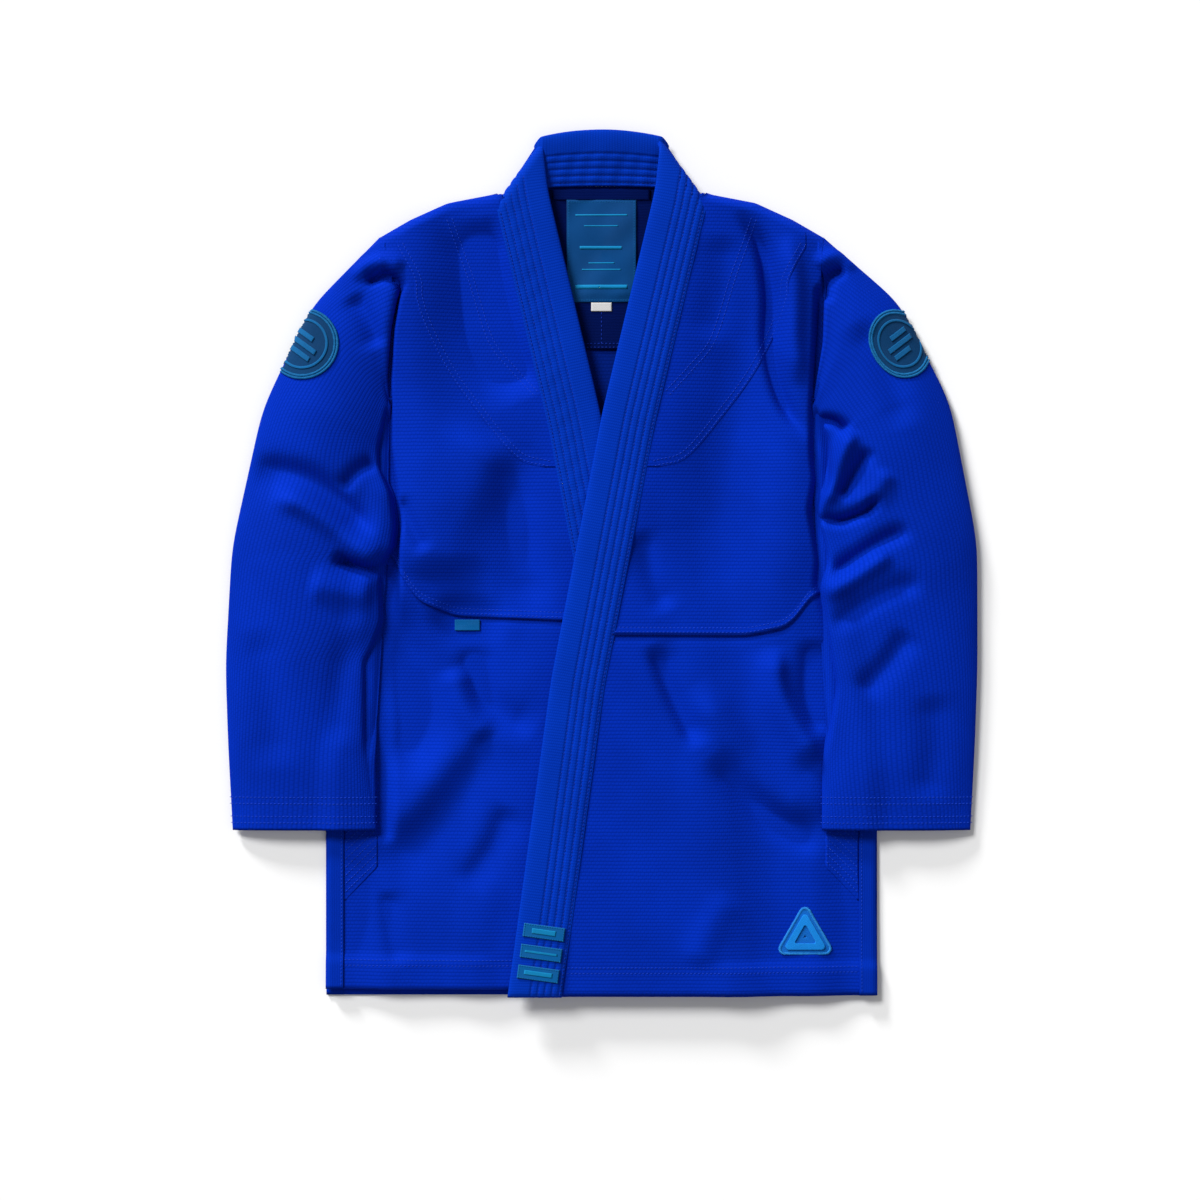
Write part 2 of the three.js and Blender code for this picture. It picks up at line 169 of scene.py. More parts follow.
# ---- folds ------------------------------------------------------------------------------------
def along(path, x, y):
    """Distance from a path, positive to its left, and the share of its length at the nearest point."""
    path = np.array(path, float)
    cuts = np.concatenate([[0], np.cumsum(np.hypot(*np.diff(path, axis=0).T))])
    best, signed, share = np.full(np.shape(x), 1e9), np.zeros(np.shape(x)), np.zeros(np.shape(x))
    for i, (a, b) in enumerate(zip(path[:-1], path[1:])):
        d = b - a
        size = np.hypot(*d)
        t = np.clip(((x - a[0]) * d[0] + (y - a[1]) * d[1]) / size**2, 0, 1)
        dx, dy = x - a[0] - t * d[0], y - a[1] - t * d[1]
        far = np.hypot(dx, dy)
        near = far < best
        best = np.where(near, far, best)
        signed = np.where(near, np.where(d[0] * dy - d[1] * dx >= 0, far, -far), signed)
        share = np.where(near, (cuts[i] + t * size) / cuts[-1], share)
    return signed, share


def curve(points, steps=6):
    """Points on a smooth curve through the ones given."""
    p = np.array(points, float)
    p = np.vstack([2 * p[0] - p[1], p, 2 * p[-1] - p[-2]])
    t = np.linspace(0, 1, steps, endpoint=False)[:, None]
    runs = [0.5 * (2 * b + (c - a) * t + (2 * a - 5 * b + 4 * c - d) * t**2 + (3 * b - a - 3 * c + d) * t**3)
            for a, b, c, d in zip(p[:-3], p[1:-2], p[2:-1], p[3:])]
    return np.vstack([*runs, p[-2:-1]])


def folds(creases, x, y):
    """Ridges and hollows: each a path, a height, and a width to its left and to its right. The ends fade."""
    total = np.zeros(np.shape(x))
    for path, height, left_width, right_width in creases:
        d, t = along(curve(path), x, y)
        fade = smooth(t / 0.22 + 0.08) * smooth((1 - t) / 0.22 + 0.08)
        width = np.where(d > 0, left_width, right_width)
        total += height * fade * np.exp(-np.square(d / width))
    return total


def ripple(x, y, size, seed):
    """Slow, smooth unevenness of cloth that was smoothed by hand, between about -1 and 1."""
    rng = np.random.default_rng(seed)
    total = np.zeros(np.broadcast(x, y).shape)
    for _ in range(7):
        angle, phase = rng.uniform(0, 2 * math.pi, 2)
        pitch = size * rng.uniform(0.7, 1.6)
        total += np.sin((x * math.cos(angle) + y * math.sin(angle)) * 2 * math.pi / pitch + phase)
    return total / 3.5


# Where the front's cloth drops into the hollow beside each sleeve.
LEFT["cleft"] = eased([-260, -100, -60, -22, 1, 20, 47, 75, 91, 109, 137, 258, 300],
                      [198, 200, 200, 190, 193, 190, 185, 190, 188, 187, 187, 192, 199], 4)
RIGHT["cleft"] = eased([-260, -90, -50, -20, 8, 34, 62, 105, 137, 167, 213, 240, 252, 262, 300],
                       [186, 184, 182, 182, 182, 180, 183, 189, 189, 190, 187, 182, 178, 182, 203], 4)
# How far the armhole's seam wanders from a straight line.
LEFT["seam"] = eased([100, 151, 167, 200, 257, 275, 297, 320], [3, 3, 3.5, 6.5, 4.5, 2, 0, 0], 6)
RIGHT["seam"] = eased([100, 151, 167, 213, 240, 252, 266, 297, 320], [2, 2, 2, -5, -12, -16, -12, 0, 0], 6)
LEFT["body_folds"] = [
    ([(124, 322), (146, 288), (154, 245), (154, 200), (160, 165), (172, 135), (192, 112)], -6.0, 9, 7),
    ([(170, 300), (176, 250), (176, 200), (182, 160)], 3.0, 9, 9),
    ([(112, 300), (108, 250), (96, 200)], -1.6, 14, 20),
    ([(36, 30), (46, -15), (62, -46)], -2.5, 10, 12),
    ([(46, -74), (62, -118), (88, -172)], -4.0, 14, 8),
    ([(98, -176), (130, -214), (160, -240), (206, -262)], -3.4, 20, 12),
    ([(84, -112), (112, -150), (152, -205), (200, -238)], 3.0, 16, 14),
    ([(158, -76), (164, -125), (200, -186)], 4.6, 9, 16),
    ([(196, -70), (192, -120), (204, -160)], -4.0, 14, 12),
    ([(118, -302), (96, -340), (84, -372)], 1.6, 16, 14),
]
RIGHT["body_folds"] = [
    ([(106, 318), (100, 262), (86, 205), (64, 150)], -6.0, 30, 12),
    ([(92, 118), (118, 72), (136, 34), (142, -20)], 5.0, 44, 30),
    ([(84, 110), (78, 60), (70, 10), (62, -50)], -2.8, 22, 16),
    ([(186, 60), (172, 30), (160, 8)], -2.5, 8, 8),
    ([(124, -72), (113, -108), (98, -134), (60, -156)], -3.2, 12, 17),
    ([(192, -30), (180, -90), (172, -150), (190, -200)], -3.4, 20, 22),
    ([(136, -96), (126, -134), (104, -164)], 3.2, 12, 12),
    ([(88, -162), (118, -192), (150, -236), (206, -290)], -2.6, 20, 26),
    ([(110, -156), (142, -186), (172, -222), (205, -250)], 2.0, 18, 18),
    ([(84, -222), (100, -262), (128, -300)], -2.4, 12, 16),
    ([(196, -300), (194, -340), (186, -372)], -2.0, 8, 12),
]
HOOK = {
    "left": [([(205, 236), (206, 254), (212, 264), (224, 268)], -8.0, 4, 5),
             ([(197, 268), (206, 277), (220, 280), (236, 270)], 3.0, 7, 7)],
    "right": [([(184, 246), (188, 256), (199, 261), (217, 256)], -8.5, 5, 4),
              ([(180, 266), (196, 275), (216, 271), (230, 258)], 3.0, 7, 7)],
}
LEFT["sleeve_folds"] = [
    ([(198, 130), (214, 128), (226, 119)], -8.0, 5, 4),
    ([(230, 122), (216, 92), (207, 66), (199, 48)], 6.0, 8, 8),
    ([(246, 104), (230, 78), (219, 56)], -5.5, 6, 7),
    ([(196, 41), (216, 37), (238, 44), (256, 60)], -7.0, 6, 4),
    ([(262, 84), (246, 60), (228, 52)], 3.0, 9, 9),
    ([(208, -14), (234, 4), (262, 22), (284, 28)], -5.0, 8, 7),
    ([(200, -32), (230, -14), (264, 10)], 4.5, 8, 9),
    ([(206, -64), (236, -42), (270, -24), (296, -22)], -3.0, 10, 9),
    ([(282, -62), (262, -92), (234, -122)], -3.2, 12, 10),
    ([(232, 220), (262, 170), (276, 120)], -2.6, 14, 16),
    ([(300, -120), (304, -170), (296, -220)], -2.0, 16, 16),
]
RIGHT["sleeve_folds"] = [
    ([(322, 88), (292, 84), (262, 74), (232, 48), (210, 20)], -5.5, 20, 11),
    ([(304, 58), (276, 54), (242, 32), (214, 6), (192, -4)], 5.5, 10, 12),
    ([(246, 6), (224, -4), (194, -7)], -9.0, 6, 5),
    ([(268, -20), (240, -26), (206, -30)], 3.0, 12, 14),
    ([(228, 246), (214, 222), (204, 194)], -3.2, 12, 8),
    ([(206, 92), (222, 84), (238, 66)], -3.5, 7, 6),
    ([(316, -60), (304, -120), (300, -190)], -2.2, 18, 18),
    ([(224, -60), (236, -110), (240, -170)], -1.8, 12, 14),
]
for side in SIDES:
    side["body_folds"] += HOOK[side["name"]]
    side["sleeve_folds"] += HOOK[side["name"]]


def front_level(side, x, y):
    """Middle height of a front's cloth as it lies over the band below it, the back and the air between."""
    start = np.maximum(lapel_x(y) + 46, 6 - lapel_x(y))
    level = side["panel"] + (SIDE_LEVEL - side["panel"]) * smooth((x - start) / side["slope"])
    upper = smooth((y + 90) / 110)
    level = level + 10.5 * np.exp(-np.square((x - 172) / 34)) * upper
    level += smooth((x - start) / 50) * (6.5 * (1 - smooth((x - 190) / 40)) * (1 - upper) + 3.0 * upper)
    level += 2.3 * folds(side["body_folds"], x, y)
    level += 2.0 * ripple(x, y, 150, 3 + side["sign"]) * smooth((x - start) / 30)
    if side is RIGHT:
        flat = np.exp(-np.square(np.square((x - TAB[0]) / 30) + np.square((y - TAB[1]) / 24)))
        level = level * (1 - flat) + SIDE_LEVEL * flat
    under = hidden(side, x, y)
    level = level * (1 - under) + (SIDE_LEVEL + 0.2) * under
    ends = smooth((y - side["hem"] + 2) / 70)
    level = SIDE_LEVEL + np.maximum(level - SIDE_LEVEL, 0) * (0.9 + 0.1 * ends)
    level += (CLOTH + 0.2) * (1 - smooth((y - side["hem"] - 24) / 10)) * smooth((x - start) / 30)
    return rolled(level, x, y)


def hidden(side, x, y):
    """1 where the sleeve lies on the side of the body, 0 on the cloth that shows."""
    edge = side["cleft"](y) + 60 * smooth((y - JOIN_Y + 8) / 14)
    return smooth((x - edge) / (side["fall"] + 10 * smooth(-y / 60))) * smooth((y - CUFF_Y + 14) / 12)


def rolled(level, x, y, radius=9.0):
    """A front's edge turned down to the back along the shoulder and the side."""
    edge = [*SHOULDER_LINE, (SHOULDER[0] + 60, SHOULDER[1] - 30)]
    turn = round_edge(np.abs(along(edge, x, y)[0]) / radius)
    turn = np.minimum(turn, np.where(y < ARMPIT[1], round_edge((side_x(y) - x) / 5), 1))
    low = CLOTH + 0.9
    return low + (level - low) * turn


# ---- mesh making ------------------------------------------------------------------------------
def stacked(parts):
    """Arrays side by side as the coordinates of one grid of points."""
    return np.stack(np.broadcast_arrays(*parts), -1)


def normals_of(grid, wrap):
    du = np.roll(grid, -1, 1) - np.roll(grid, 1, 1)
    if not wrap:
        du[:, 0], du[:, -1] = grid[:, 1] - grid[:, 0], grid[:, -1] - grid[:, -2]
    dv = np.empty_like(grid)
    dv[1:-1] = grid[2:] - grid[:-2]
    dv[0], dv[-1] = grid[1] - grid[0], grid[-1] - grid[-2]
    n = np.cross(du, dv)
    return n / np.maximum(np.linalg.norm(n, axis=2, keepdims=True), 1e-9)


def shell(name, grid, up, down, material, side=LEFT, uv=None, wrap=False, bulge=0.35):
    """A piece of cloth as a closed body: a middle surface of rows and columns, given its thickness on
    both sides and a rounded rim. Rows run down the jacket and columns outwards, so up is what shows."""
    rows, cols = grid.shape[:2]
    n = -normals_of(grid, wrap)
    up, down = [np.broadcast_to(part, (rows, cols))[..., None] for part in (up, down)]
    top, bottom = grid + n * up, grid - n * down
    points = [top.reshape(-1, 3), bottom.reshape(-1, 3)]
    index = np.arange(rows * cols).reshape(rows, cols)
    if wrap:
        index = np.hstack([index, index[:, :1]])
    a, b, c, d = [part.ravel() for part in (index[:-1, :-1], index[:-1, 1:], index[1:, 1:], index[1:, :-1])]
    under = rows * cols                         # a point's partner on the underside is this much further on
    faces = [np.stack([a, d, c, b], 1), np.stack([a, b, c, d], 1) + under]
    if wrap:
        rims = [index[0, :], index[-1, ::-1]]
    else:
        rims = [np.concatenate([index[0, :], index[1:, -1], index[-1, -2::-1], index[-2::-1, 0]])]
    flat_top, flat_bottom = points
    count = 2 * under
    for rim in rims:
        ring, ahead = rim[:-1], np.roll(rim[:-1], -1)
        wall = flat_top[ring] - flat_bottom[ring]
        out = np.cross(flat_top[ahead] - flat_top[np.roll(ring, 1)], wall)
        out /= np.maximum(np.linalg.norm(out, axis=1, keepdims=True), 1e-9)
        middle = (flat_top[ring] + flat_bottom[ring]) / 2
        points.append(middle + out * bulge * np.linalg.norm(wall, axis=1, keepdims=True))
        m = np.arange(len(ring)) + count
        count += len(ring)
        m_ahead = np.roll(m, -1)
        faces.append(np.stack([ring, ahead, m_ahead, m], 1))
        faces.append(np.stack([m, m_ahead, ahead + under, ring + under], 1))
    points, faces = np.vstack(points), np.vstack(faces)
    if uv is None:
        uv = grid[..., :2]
    uv = np.asarray(uv, float).reshape(-1, 2)
    uv = np.vstack([uv, uv, *[uv[rim[:-1]] for rim in rims]])
    return body(name, points, faces, uv, material, side)


def body(name, points, faces, uv, material, side=LEFT):
    """A mesh object in metres from points in millimetres, on its side of the jacket, facing outwards."""
    points = np.array(points, float) * MM
    points[:, 2] = np.maximum(points[:, 2], 0.03 * MM)
    faces = np.array(faces)
    if side["sign"] < 0:
        points[:, 0] *= -1
        faces = faces[:, ::-1]
    mesh = bpy.data.meshes.new(name)
    mesh.from_pydata(points.tolist(), [], faces.tolist())
    layer = mesh.uv_layers.new(name="cloth")
    loops = np.empty(len(mesh.loops), int)
    mesh.loops.foreach_get("vertex_index", loops)
    layer.data.foreach_set("uv", (np.asarray(uv, float)[loops] * MM).astype(np.float32).ravel())
    mesh.polygons.foreach_set("use_smooth", [True] * len(mesh.polygons))
    mesh.materials.append(material)
    mesh.validate()
    made = bpy.data.objects.new(name, mesh)
    bpy.context.scene.collection.objects.link(made)
    return made


def stands_for(piece, nodes):
    """Hides the solids that a piece takes the place of, and gives the piece back."""
    if nodes:
        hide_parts(*nodes)
    return piece


def stay(piece, slot=None, *nodes):
    """A piece that stays on the back."""
    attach(piece, "torso")
    return stands_for(piece, nodes)


def bend(piece, side, slot=None, *nodes):
    """Cloth of a front: its place is baked into its mesh, and the solids it stands for are hidden."""
    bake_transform(piece)
    return stands_for(piece, nodes)


def swing(piece, side, slot=None, *nodes):
    """Cloth of a sleeve: its place is baked into its mesh, and the solids it stands for are hidden."""
    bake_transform(piece)
    return stands_for(piece, nodes)


# ---- materials --------------------------------------------------------------------------------
def colour(code):
    """Linear colour of an sRGB hex value."""
    parts = [int(code[i:i + 2], 16) / 255 for i in (1, 3, 5)]
    return (*[c / 12.92 if c <= 0.04045 else ((c + 0.055) / 1.055) ** 2.4 for c in parts], 1.0)


def add(tree, kind, inputs=None, **settings):
    """Adds a node with its settings, and sets or links its inputs."""
    made = tree.nodes.new(kind)
    for name, value in settings.items():
        setattr(made, name, value)
    for name, value in (inputs or {}).items():
        if isinstance(value, bpy.types.NodeSocket):
            tree.links.new(value, made.inputs[name])
        else:
            made.inputs[name].default_value = value
    return made


def material(name, **fixed):
    """A material with its Principled shader, whose even values are set on the shader's own sockets."""
    made = bpy.data.materials.new(name)
    made.use_nodes = True
    shader = made.node_tree.nodes["Principled BSDF"]
    for socket, value in fixed.items():
        shader.inputs[socket.replace("_", " ")].default_value = value
    return made, made.node_tree, shader


def woven(name, base, deep, cell, gap, depth, turn=0.0, slip=0.5, patchy=0.10, **fixed):
    """Cloth of floats laid in rows: cell is a float's length and height in mm, gap the groove round it, and
    deep the colour painted into the grooves as their shade.
    """
    made, tree, shader = material(name, **fixed)
    uv = add(tree, "ShaderNodeUVMap", uv_map="cloth").outputs["UV"]
    wander = add(tree, "ShaderNodeTexNoise", {"Vector": uv, "Scale": 160.0, "Detail": 2.0}).outputs["Color"]
    mm = add(tree, "ShaderNodeMapping", {"Vector": uv, "Rotation": (0, 0, turn), "Scale": (1000, 1000, 1000)})
    shift = add(tree, "ShaderNodeVectorMath", {0: wander, 1: (0.5, 0.5, 0.5)}, operation="SUBTRACT")
    moved = add(tree, "ShaderNodeVectorMath", {0: shift.outputs[0], 1: (0.9, 0.9, 0.0), 2: mm.outputs[0]},
                operation="MULTIPLY_ADD")
    floats = add(tree, "ShaderNodeTexBrick", {
        "Vector": moved.outputs[0], "Scale": 1.0, "Brick Width": cell[0], "Row Height": cell[1],
        "Mortar Size": gap, "Mortar Smooth": 1.0}, offset=slip)
    rows = add(tree, "ShaderNodeTexWave", {"Vector": moved.outputs[0], "Scale": math.pi / 10 / cell[1]},
               wave_type="BANDS", bands_direction="Y")
    valley = add(tree, "ShaderNodeMath", {0: rows.outputs["Fac"], 1: -0.45, 2: 0.45},
                 operation="MULTIPLY_ADD")
    groove = add(tree, "ShaderNodeMath", {0: floats.outputs["Fac"], 1: 0.55, 2: valley.outputs[0]},
                 operation="MULTIPLY_ADD").outputs[0]
    fibre = add(tree, "ShaderNodeTexNoise", {"Vector": uv, "Scale": 2600.0, "Detail": 3.0, "Roughness": 0.6})
    wash = add(tree, "ShaderNodeTexNoise", {"Vector": uv, "Scale": 14.0, "Detail": 5.0, "Roughness": 0.6})
    worn = add(tree, "ShaderNodeMapRange", {"Value": wash.outputs["Fac"], "From Min": 0.3, "From Max": 0.7,
                                            "To Min": 1 - patchy, "To Max": 1 + patchy})
    # Painted shade: the grooves take the darker colour deep.
    painted_groove_shade = add(tree, "ShaderNodeMix", {"Factor": groove, "A": base, "B": deep}, data_type="RGBA")
    shade = add(tree, "ShaderNodeHueSaturation", {"Color": painted_groove_shade.outputs[2], "Value": worn.outputs[0]})
    tree.links.new(shade.outputs[0], shader.inputs["Base Color"])
    raised = add(tree, "ShaderNodeMath", {0: fibre.outputs["Fac"], 1: 0.25, 2: groove},
                 operation="MULTIPLY_ADD")
    bump = add(tree, "ShaderNodeBump", {"Height": raised.outputs[0], "Strength": 1.0, "Distance": depth * MM},
               invert=True)
    tree.links.new(bump.outputs[0], shader.inputs["Normal"])
    rough = add(tree, "ShaderNodeMapRange", {"Value": groove, "To Min": 0.78, "To Max": 0.95})
    tree.links.new(rough.outputs[0], shader.inputs["Roughness"])
    return made


SOFT = {"Sheen_Weight": 0.06, "Sheen_Roughness": 0.5, "Sheen_Tint": colour("#1038FF"), "IOR": 1.5,
        "Specular_IOR_Level": 0.03}
GLOSS = {"Sheen_Weight": 0.03, "Anisotropic": 0.5, "IOR": 1.5, "Specular_IOR_Level": 0.12}
# Pearl-weave cotton: grains of thick weft in offset rows, which give the eye fine ribs. A grain is
# about 2 mm long, and is drawn nearly twice as large so that its rows show.
PEARL = woven("pearl_weave_cotton", colour("#0028A4"), colour("#002494"), (3.6, 3.3), 0.8, 0.17, **SOFT)
PEARL_SLEEVE = woven("pearl_weave_cotton_sleeve", colour("#0028A4"), colour("#002494"), (3.6, 3.1), 0.8, 0.17,
                     turn=math.radians(84), **SOFT)
# The weave's inner side, flatter, and darker as painted shade for the hollow inside the neck: the back's
# up-facing faces.
PEARL_INNER_PAINTED_SHADE = woven("pearl_weave_cotton_inside_painted_shade", colour("#001C74"), colour("#001866"), (3.6, 3.3), 0.8, 0.12,
                     **SOFT)
# Close cotton twill: the collar and lapel band's cover, smoother and a little lighter. Its 1 mm lines
# are drawn twice as large.
TWILL = woven("cotton_band_twill", colour("#0031A8"), colour("#002A98"), (1.9, 2.5), 0.5, 0.12, patchy=0.07,
              **SOFT)
# Plain lining cotton: the yoke inside the back, flat and dull, its colour darkened well past the cloth's own
# as painted shade for the hollow inside the neck.
LINING_PAINTED_SHADE = woven("plain_lining_cotton_painted_shade", colour("#00104C"), colour("#000C40"), (1.4, 1.4), 0.35, 0.15, **SOFT)
# Ribbed cotton tape, woven narrow: fine lines along the vents' and the cuffs' edges.
TAPE = woven("cotton_tape", colour("#002AA2"), colour("#002490"), (4.0, 1.6), 0.4, 0.12,
             turn=math.radians(90), **SOFT)
# Woven polyester satin: labels with a soft shine along the weft. Its 0.3 mm threads are drawn as
# 0.9 mm floats, and the bars and the size tag are the same ribbon in other colours.
SATIN = woven("woven_satin", colour("#00447E"), colour("#003468"), (5.0, 0.9), 0.2, 0.05, **GLOSS)
SATIN_LIGHT = woven("woven_satin_light", colour("#0A7CB0"), colour("#046494"), (5.0, 0.9), 0.2, 0.05, **GLOSS)
SATIN_BAR = woven("woven_satin_bar", colour("#005A98"), colour("#004A84"), (5.0, 0.9), 0.2, 0.05, **GLOSS)
WHITE_TAG = woven("white_satin_tag", colour("#D0D0D0"), colour("#B0B0B0"), (5.0, 0.9), 0.2, 0.06, IOR=1.5)
# Rayon embroidery: flat satin stitches side by side, with a soft gloss across them. The 0.4 mm
# threads are drawn about twice as wide.
FIELD = woven("embroidery_field", colour("#003864"), colour("#002A50"), (8.0, 0.9), 0.25, 0.15, **GLOSS)
MOTIF = woven("embroidery_motif", colour("#085E96"), colour("#034A7C"), (8.0, 0.9), 0.25, 0.2,
              turn=math.radians(35), **GLOSS)
BRIGHT = woven("embroidery_bright", colour("#148CE8"), colour("#0A74CC"), (8.0, 0.9), 0.25, 0.25,
               turn=math.radians(60), **GLOSS)
BRIGHT_FIELD = woven("embroidery_bright_field", colour("#0868C4"), colour("#0454A8"), (8.0, 0.9), 0.25, 0.2,
                     **GLOSS)


def thread(name, base, deep, **fixed):
    """Spun sewing thread, with a fine twist."""
    made, tree, shader = material(name, Roughness=0.6, IOR=1.5, Specular_IOR_Level=0.15, **fixed)
    at = add(tree, "ShaderNodeTexCoord").outputs["Object"]
    ply = add(tree, "ShaderNodeTexNoise", {"Vector": at, "Scale": 1400.0, "Detail": 2.0})
    tone = add(tree, "ShaderNodeMix", {"Factor": ply.outputs["Fac"], "A": deep, "B": base}, data_type="RGBA")
    tree.links.new(tone.outputs[2], shader.inputs["Base Color"])
    bump = add(tree, "ShaderNodeBump", {"Height": ply.outputs["Fac"], "Strength": 0.5, "Distance": 0.0001})
    tree.links.new(bump.outputs[0], shader.inputs["Normal"])
    return made


# Spun polyester thread, dyed a little lighter than the cloth: dull bars with a fine twist. The rims'
# thread is the same, with more gloss and overlocked round the patches.
THREAD = thread("polyester_sewing_thread", colour("#1040C0"), colour("#0830A4"))
BAND_THREAD = thread("band_sewing_thread", colour("#002C9C"), colour("#002284"))
RIM_THREAD = thread("merrowed_rim_thread", colour("#1474B0"), colour("#085488"))
BRIGHT_THREAD = thread("merrowed_bright_thread", colour("#2A8CD8"), colour("#1068B4"))


# ---- stitches ---------------------------------------------------------------------------------
def stitch_tree():
    """Stitches set along lines: short rounded bars at an even pitch, turned from the line if asked."""
    tree = bpy.data.node_groups.new("stitch_rows", "GeometryNodeTree")
    socket = tree.interface.new_socket
    socket("Geometry", in_out="INPUT", socket_type="NodeSocketGeometry")
    for name, value in (("Pitch", 0.0034), ("Length", 0.0026), ("Width", 0.0008), ("Height", 0.0006),
                        ("Turn", 0.0)):
        socket(name, in_out="INPUT", socket_type="NodeSocketFloat").default_value = value
    socket("Seed", in_out="INPUT", socket_type="NodeSocketInt").default_value = 4
    socket("Thread", in_out="INPUT", socket_type="NodeSocketMaterial")
    socket("Geometry", in_out="OUTPUT", socket_type="NodeSocketGeometry")
    given = add(tree, "NodeGroupInput").outputs
    line = add(tree, "GeometryNodeMeshToCurve", {"Mesh": given["Geometry"]})
    spaced = add(tree, "GeometryNodeResampleCurve", {"Curve": line.outputs[0], "Length": given["Pitch"]},
                 mode="LENGTH")
    stitch = add(tree, "GeometryNodeMeshUVSphere", {"Segments": 6, "Rings": 4, "Radius": 0.5})
    size = add(tree, "ShaderNodeCombineXYZ", {0: given["Length"], 1: given["Width"], 2: given["Height"]})
    bar = add(tree, "GeometryNodeTransform", {"Geometry": stitch.outputs["Mesh"], "Scale": size.outputs[0]})
    tangent = add(tree, "GeometryNodeInputTangent")
    facing = add(tree, "FunctionNodeAlignRotationToVector", {"Vector": tangent.outputs[0]}, axis="X",
                 pivot_axis="Z")
    euler = add(tree, "ShaderNodeCombineXYZ", {2: given["Turn"]})
    turned = add(tree, "FunctionNodeRotateRotation", {
        "Rotation": facing.outputs[0], "Rotate By": euler.outputs[0]}, rotation_space="LOCAL")
    uneven = add(tree, "FunctionNodeRandomValue", {
        "Min": (0.85, 0.9, 0.9), "Max": (1.1, 1.1, 1.1), "Seed": given["Seed"]}, data_type="FLOAT_VECTOR")
    placed = add(tree, "GeometryNodeInstanceOnPoints", {
        "Points": spaced.outputs[0], "Instance": bar.outputs[0], "Rotation": turned.outputs[0],
        "Scale": uneven.outputs[0]})
    real = add(tree, "GeometryNodeRealizeInstances", {"Geometry": placed.outputs[0]})
    round_it = add(tree, "GeometryNodeSetShadeSmooth", {"Geometry": real.outputs[0]})
    done = add(tree, "GeometryNodeSetMaterial", {
        "Geometry": round_it.outputs[0], "Material": given["Thread"]})
    add(tree, "NodeGroupOutput", {"Geometry": done.outputs[0]})
    return tree


STITCHES = stitch_tree()


def sewn(name, lines, side=LEFT, thread_of=THREAD, **sizes):
    """Rows of stitches along lines of points in millimetres, as one plain mesh."""
    points, edges = [], []
    for line in lines:
        first = len(points)
        points += [(x * side["sign"] * MM, y * MM, max(z, 0.6) * MM) for x, y, z in line]
        edges += [(i, i + 1) for i in range(first, len(points) - 1)]
    mesh = bpy.data.meshes.new(name)
    mesh.from_pydata(points, edges, [])
    made = bpy.data.objects.new(name, mesh)
    bpy.context.scene.collection.objects.link(made)
    modifier = made.modifiers.new("stitches", "NODES")
    modifier.node_group = STITCHES
    inputs = {i.name: i.identifier for i in STITCHES.interface.items_tree if i.in_out == "INPUT"}
    modifier[inputs["Thread"]] = thread_of
    for key, value in sizes.items():
        modifier[inputs[key]] = float(value)
    bpy.context.view_layer.update()
    result = bpy.data.meshes.new_from_object(made.evaluated_get(bpy.context.evaluated_depsgraph_get()))
    made.modifiers.clear()
    made.data = result
    result.name = name
    return made


def on_front(side, line, lift):
    """A line of points in plan, laid on a front's cloth."""
    p = np.array(line, float)
    return np.column_stack([p, front_level(side, p[:, 0], p[:, 1]) + HALF + lift]).tolist()


def offset(line, distance):
    """A line moved to its left, in plan."""
    p = np.array(line, float)
    run = np.gradient(p, axis=0)
    run /= np.maximum(np.hypot(run[:, 0], run[:, 1])[:, None], 1e-9)
    return p + np.column_stack([-run[:, 1], run[:, 0]]) * distance


def straight(a, b, step=4.0):
    count = max(2, int(math.hypot(b[0] - a[0], b[1] - a[1]) / step) + 1)
    return np.linspace(a, b, count)


# ---- fronts -----------------------------------------------------------------------------------
def columns(count, crowd=1.0):
    """Shares from the lapel to the side, closer together near the side."""
    t = np.linspace(0, 1, count)
    return 1 - (1 - t) ** crowd


def chest(side):
    """The front above the waist seam."""
    name = side["name"]
    rows = np.concatenate([np.linspace(SHOULDER_LINE[0][1], SHOULDER[1], 34)[:-1],
                           np.arange(SHOULDER[1], side["waist"] + 2, -2.4), [side["waist"]]])
    y = start = rows[:, None]
    drop = np.square(np.clip((ARMPIT[1] - start) / (ARMPIT[1] - side["waist"]), 0, 1))
    for _ in range(4):                          # the last row follows the waist seam, out to the side
        x = tuck_x(y) + (out_x(y) - tuck_x(y)) * columns(118, 1.15)[None, :]
        y = start + (side["waist_y"](x) - side["waist"]) * drop
    z = front_level(side, x, y)
    z = z + 1.25 * (1 - smooth((y - side["waist_y"](x)) / 9))       # it laps over the skirt's top
    made = shell(f"chest_{name}", stacked([x, y, z]), HALF, HALF, PEARL, side)
    bend(made, side, "body_cloth", f"chest_{name}_side", f"chest_{name}_flap")


def skirt(side):
    """The front below the waist seam."""
    name = side["name"]
    top, low = side["waist"] + 7, side["hem"] + 0.6
    rows = np.concatenate([np.arange(top, low + 2, -2.6), [low]])
    y = start = rows[:, None]
    drop = 1 - smooth((side["waist"] - start) / 110)
    for _ in range(4):
        x = tuck_x(y) + (out_x(y) - 0.4 - tuck_x(y)) * columns(112, 1.05)[None, :]
        y = start + (side["waist_y"](x) - side["waist"]) * drop
    z = front_level(side, x, y) - 1.2 * (1 - smooth((side["waist_y"](x) + 2 - y) / 12))
    z = z - 1.2 * (1 - round_edge((y - low) / 3))
    made = shell(f"skirt_{name}", stacked([x, y, z]), HALF, HALF, PEARL, side)
    bend(made, side, "body_cloth", f"skirt_{name}_side", f"skirt_{name}_flap")


def hem(side):
    """The skirt's end turned up inside."""
    name = side["name"]
    y = np.linspace(side["hem"] + 25, side["hem"] + 0.9, 10)[:, None]
    x = tuck_x(y) + 2 + (VENT_X - tuck_x(y) - 2) * np.linspace(0, 1, 70)[None, :]
    z = front_level(side, x, y) - CLOTH - 0.15
    made = shell(f"hem_{name}", stacked([x, y, z]), 0.9, 0.9, PEARL, side)
    bend(made, side, "body_cloth", f"hem_{name}_side", f"hem_{name}_flap")


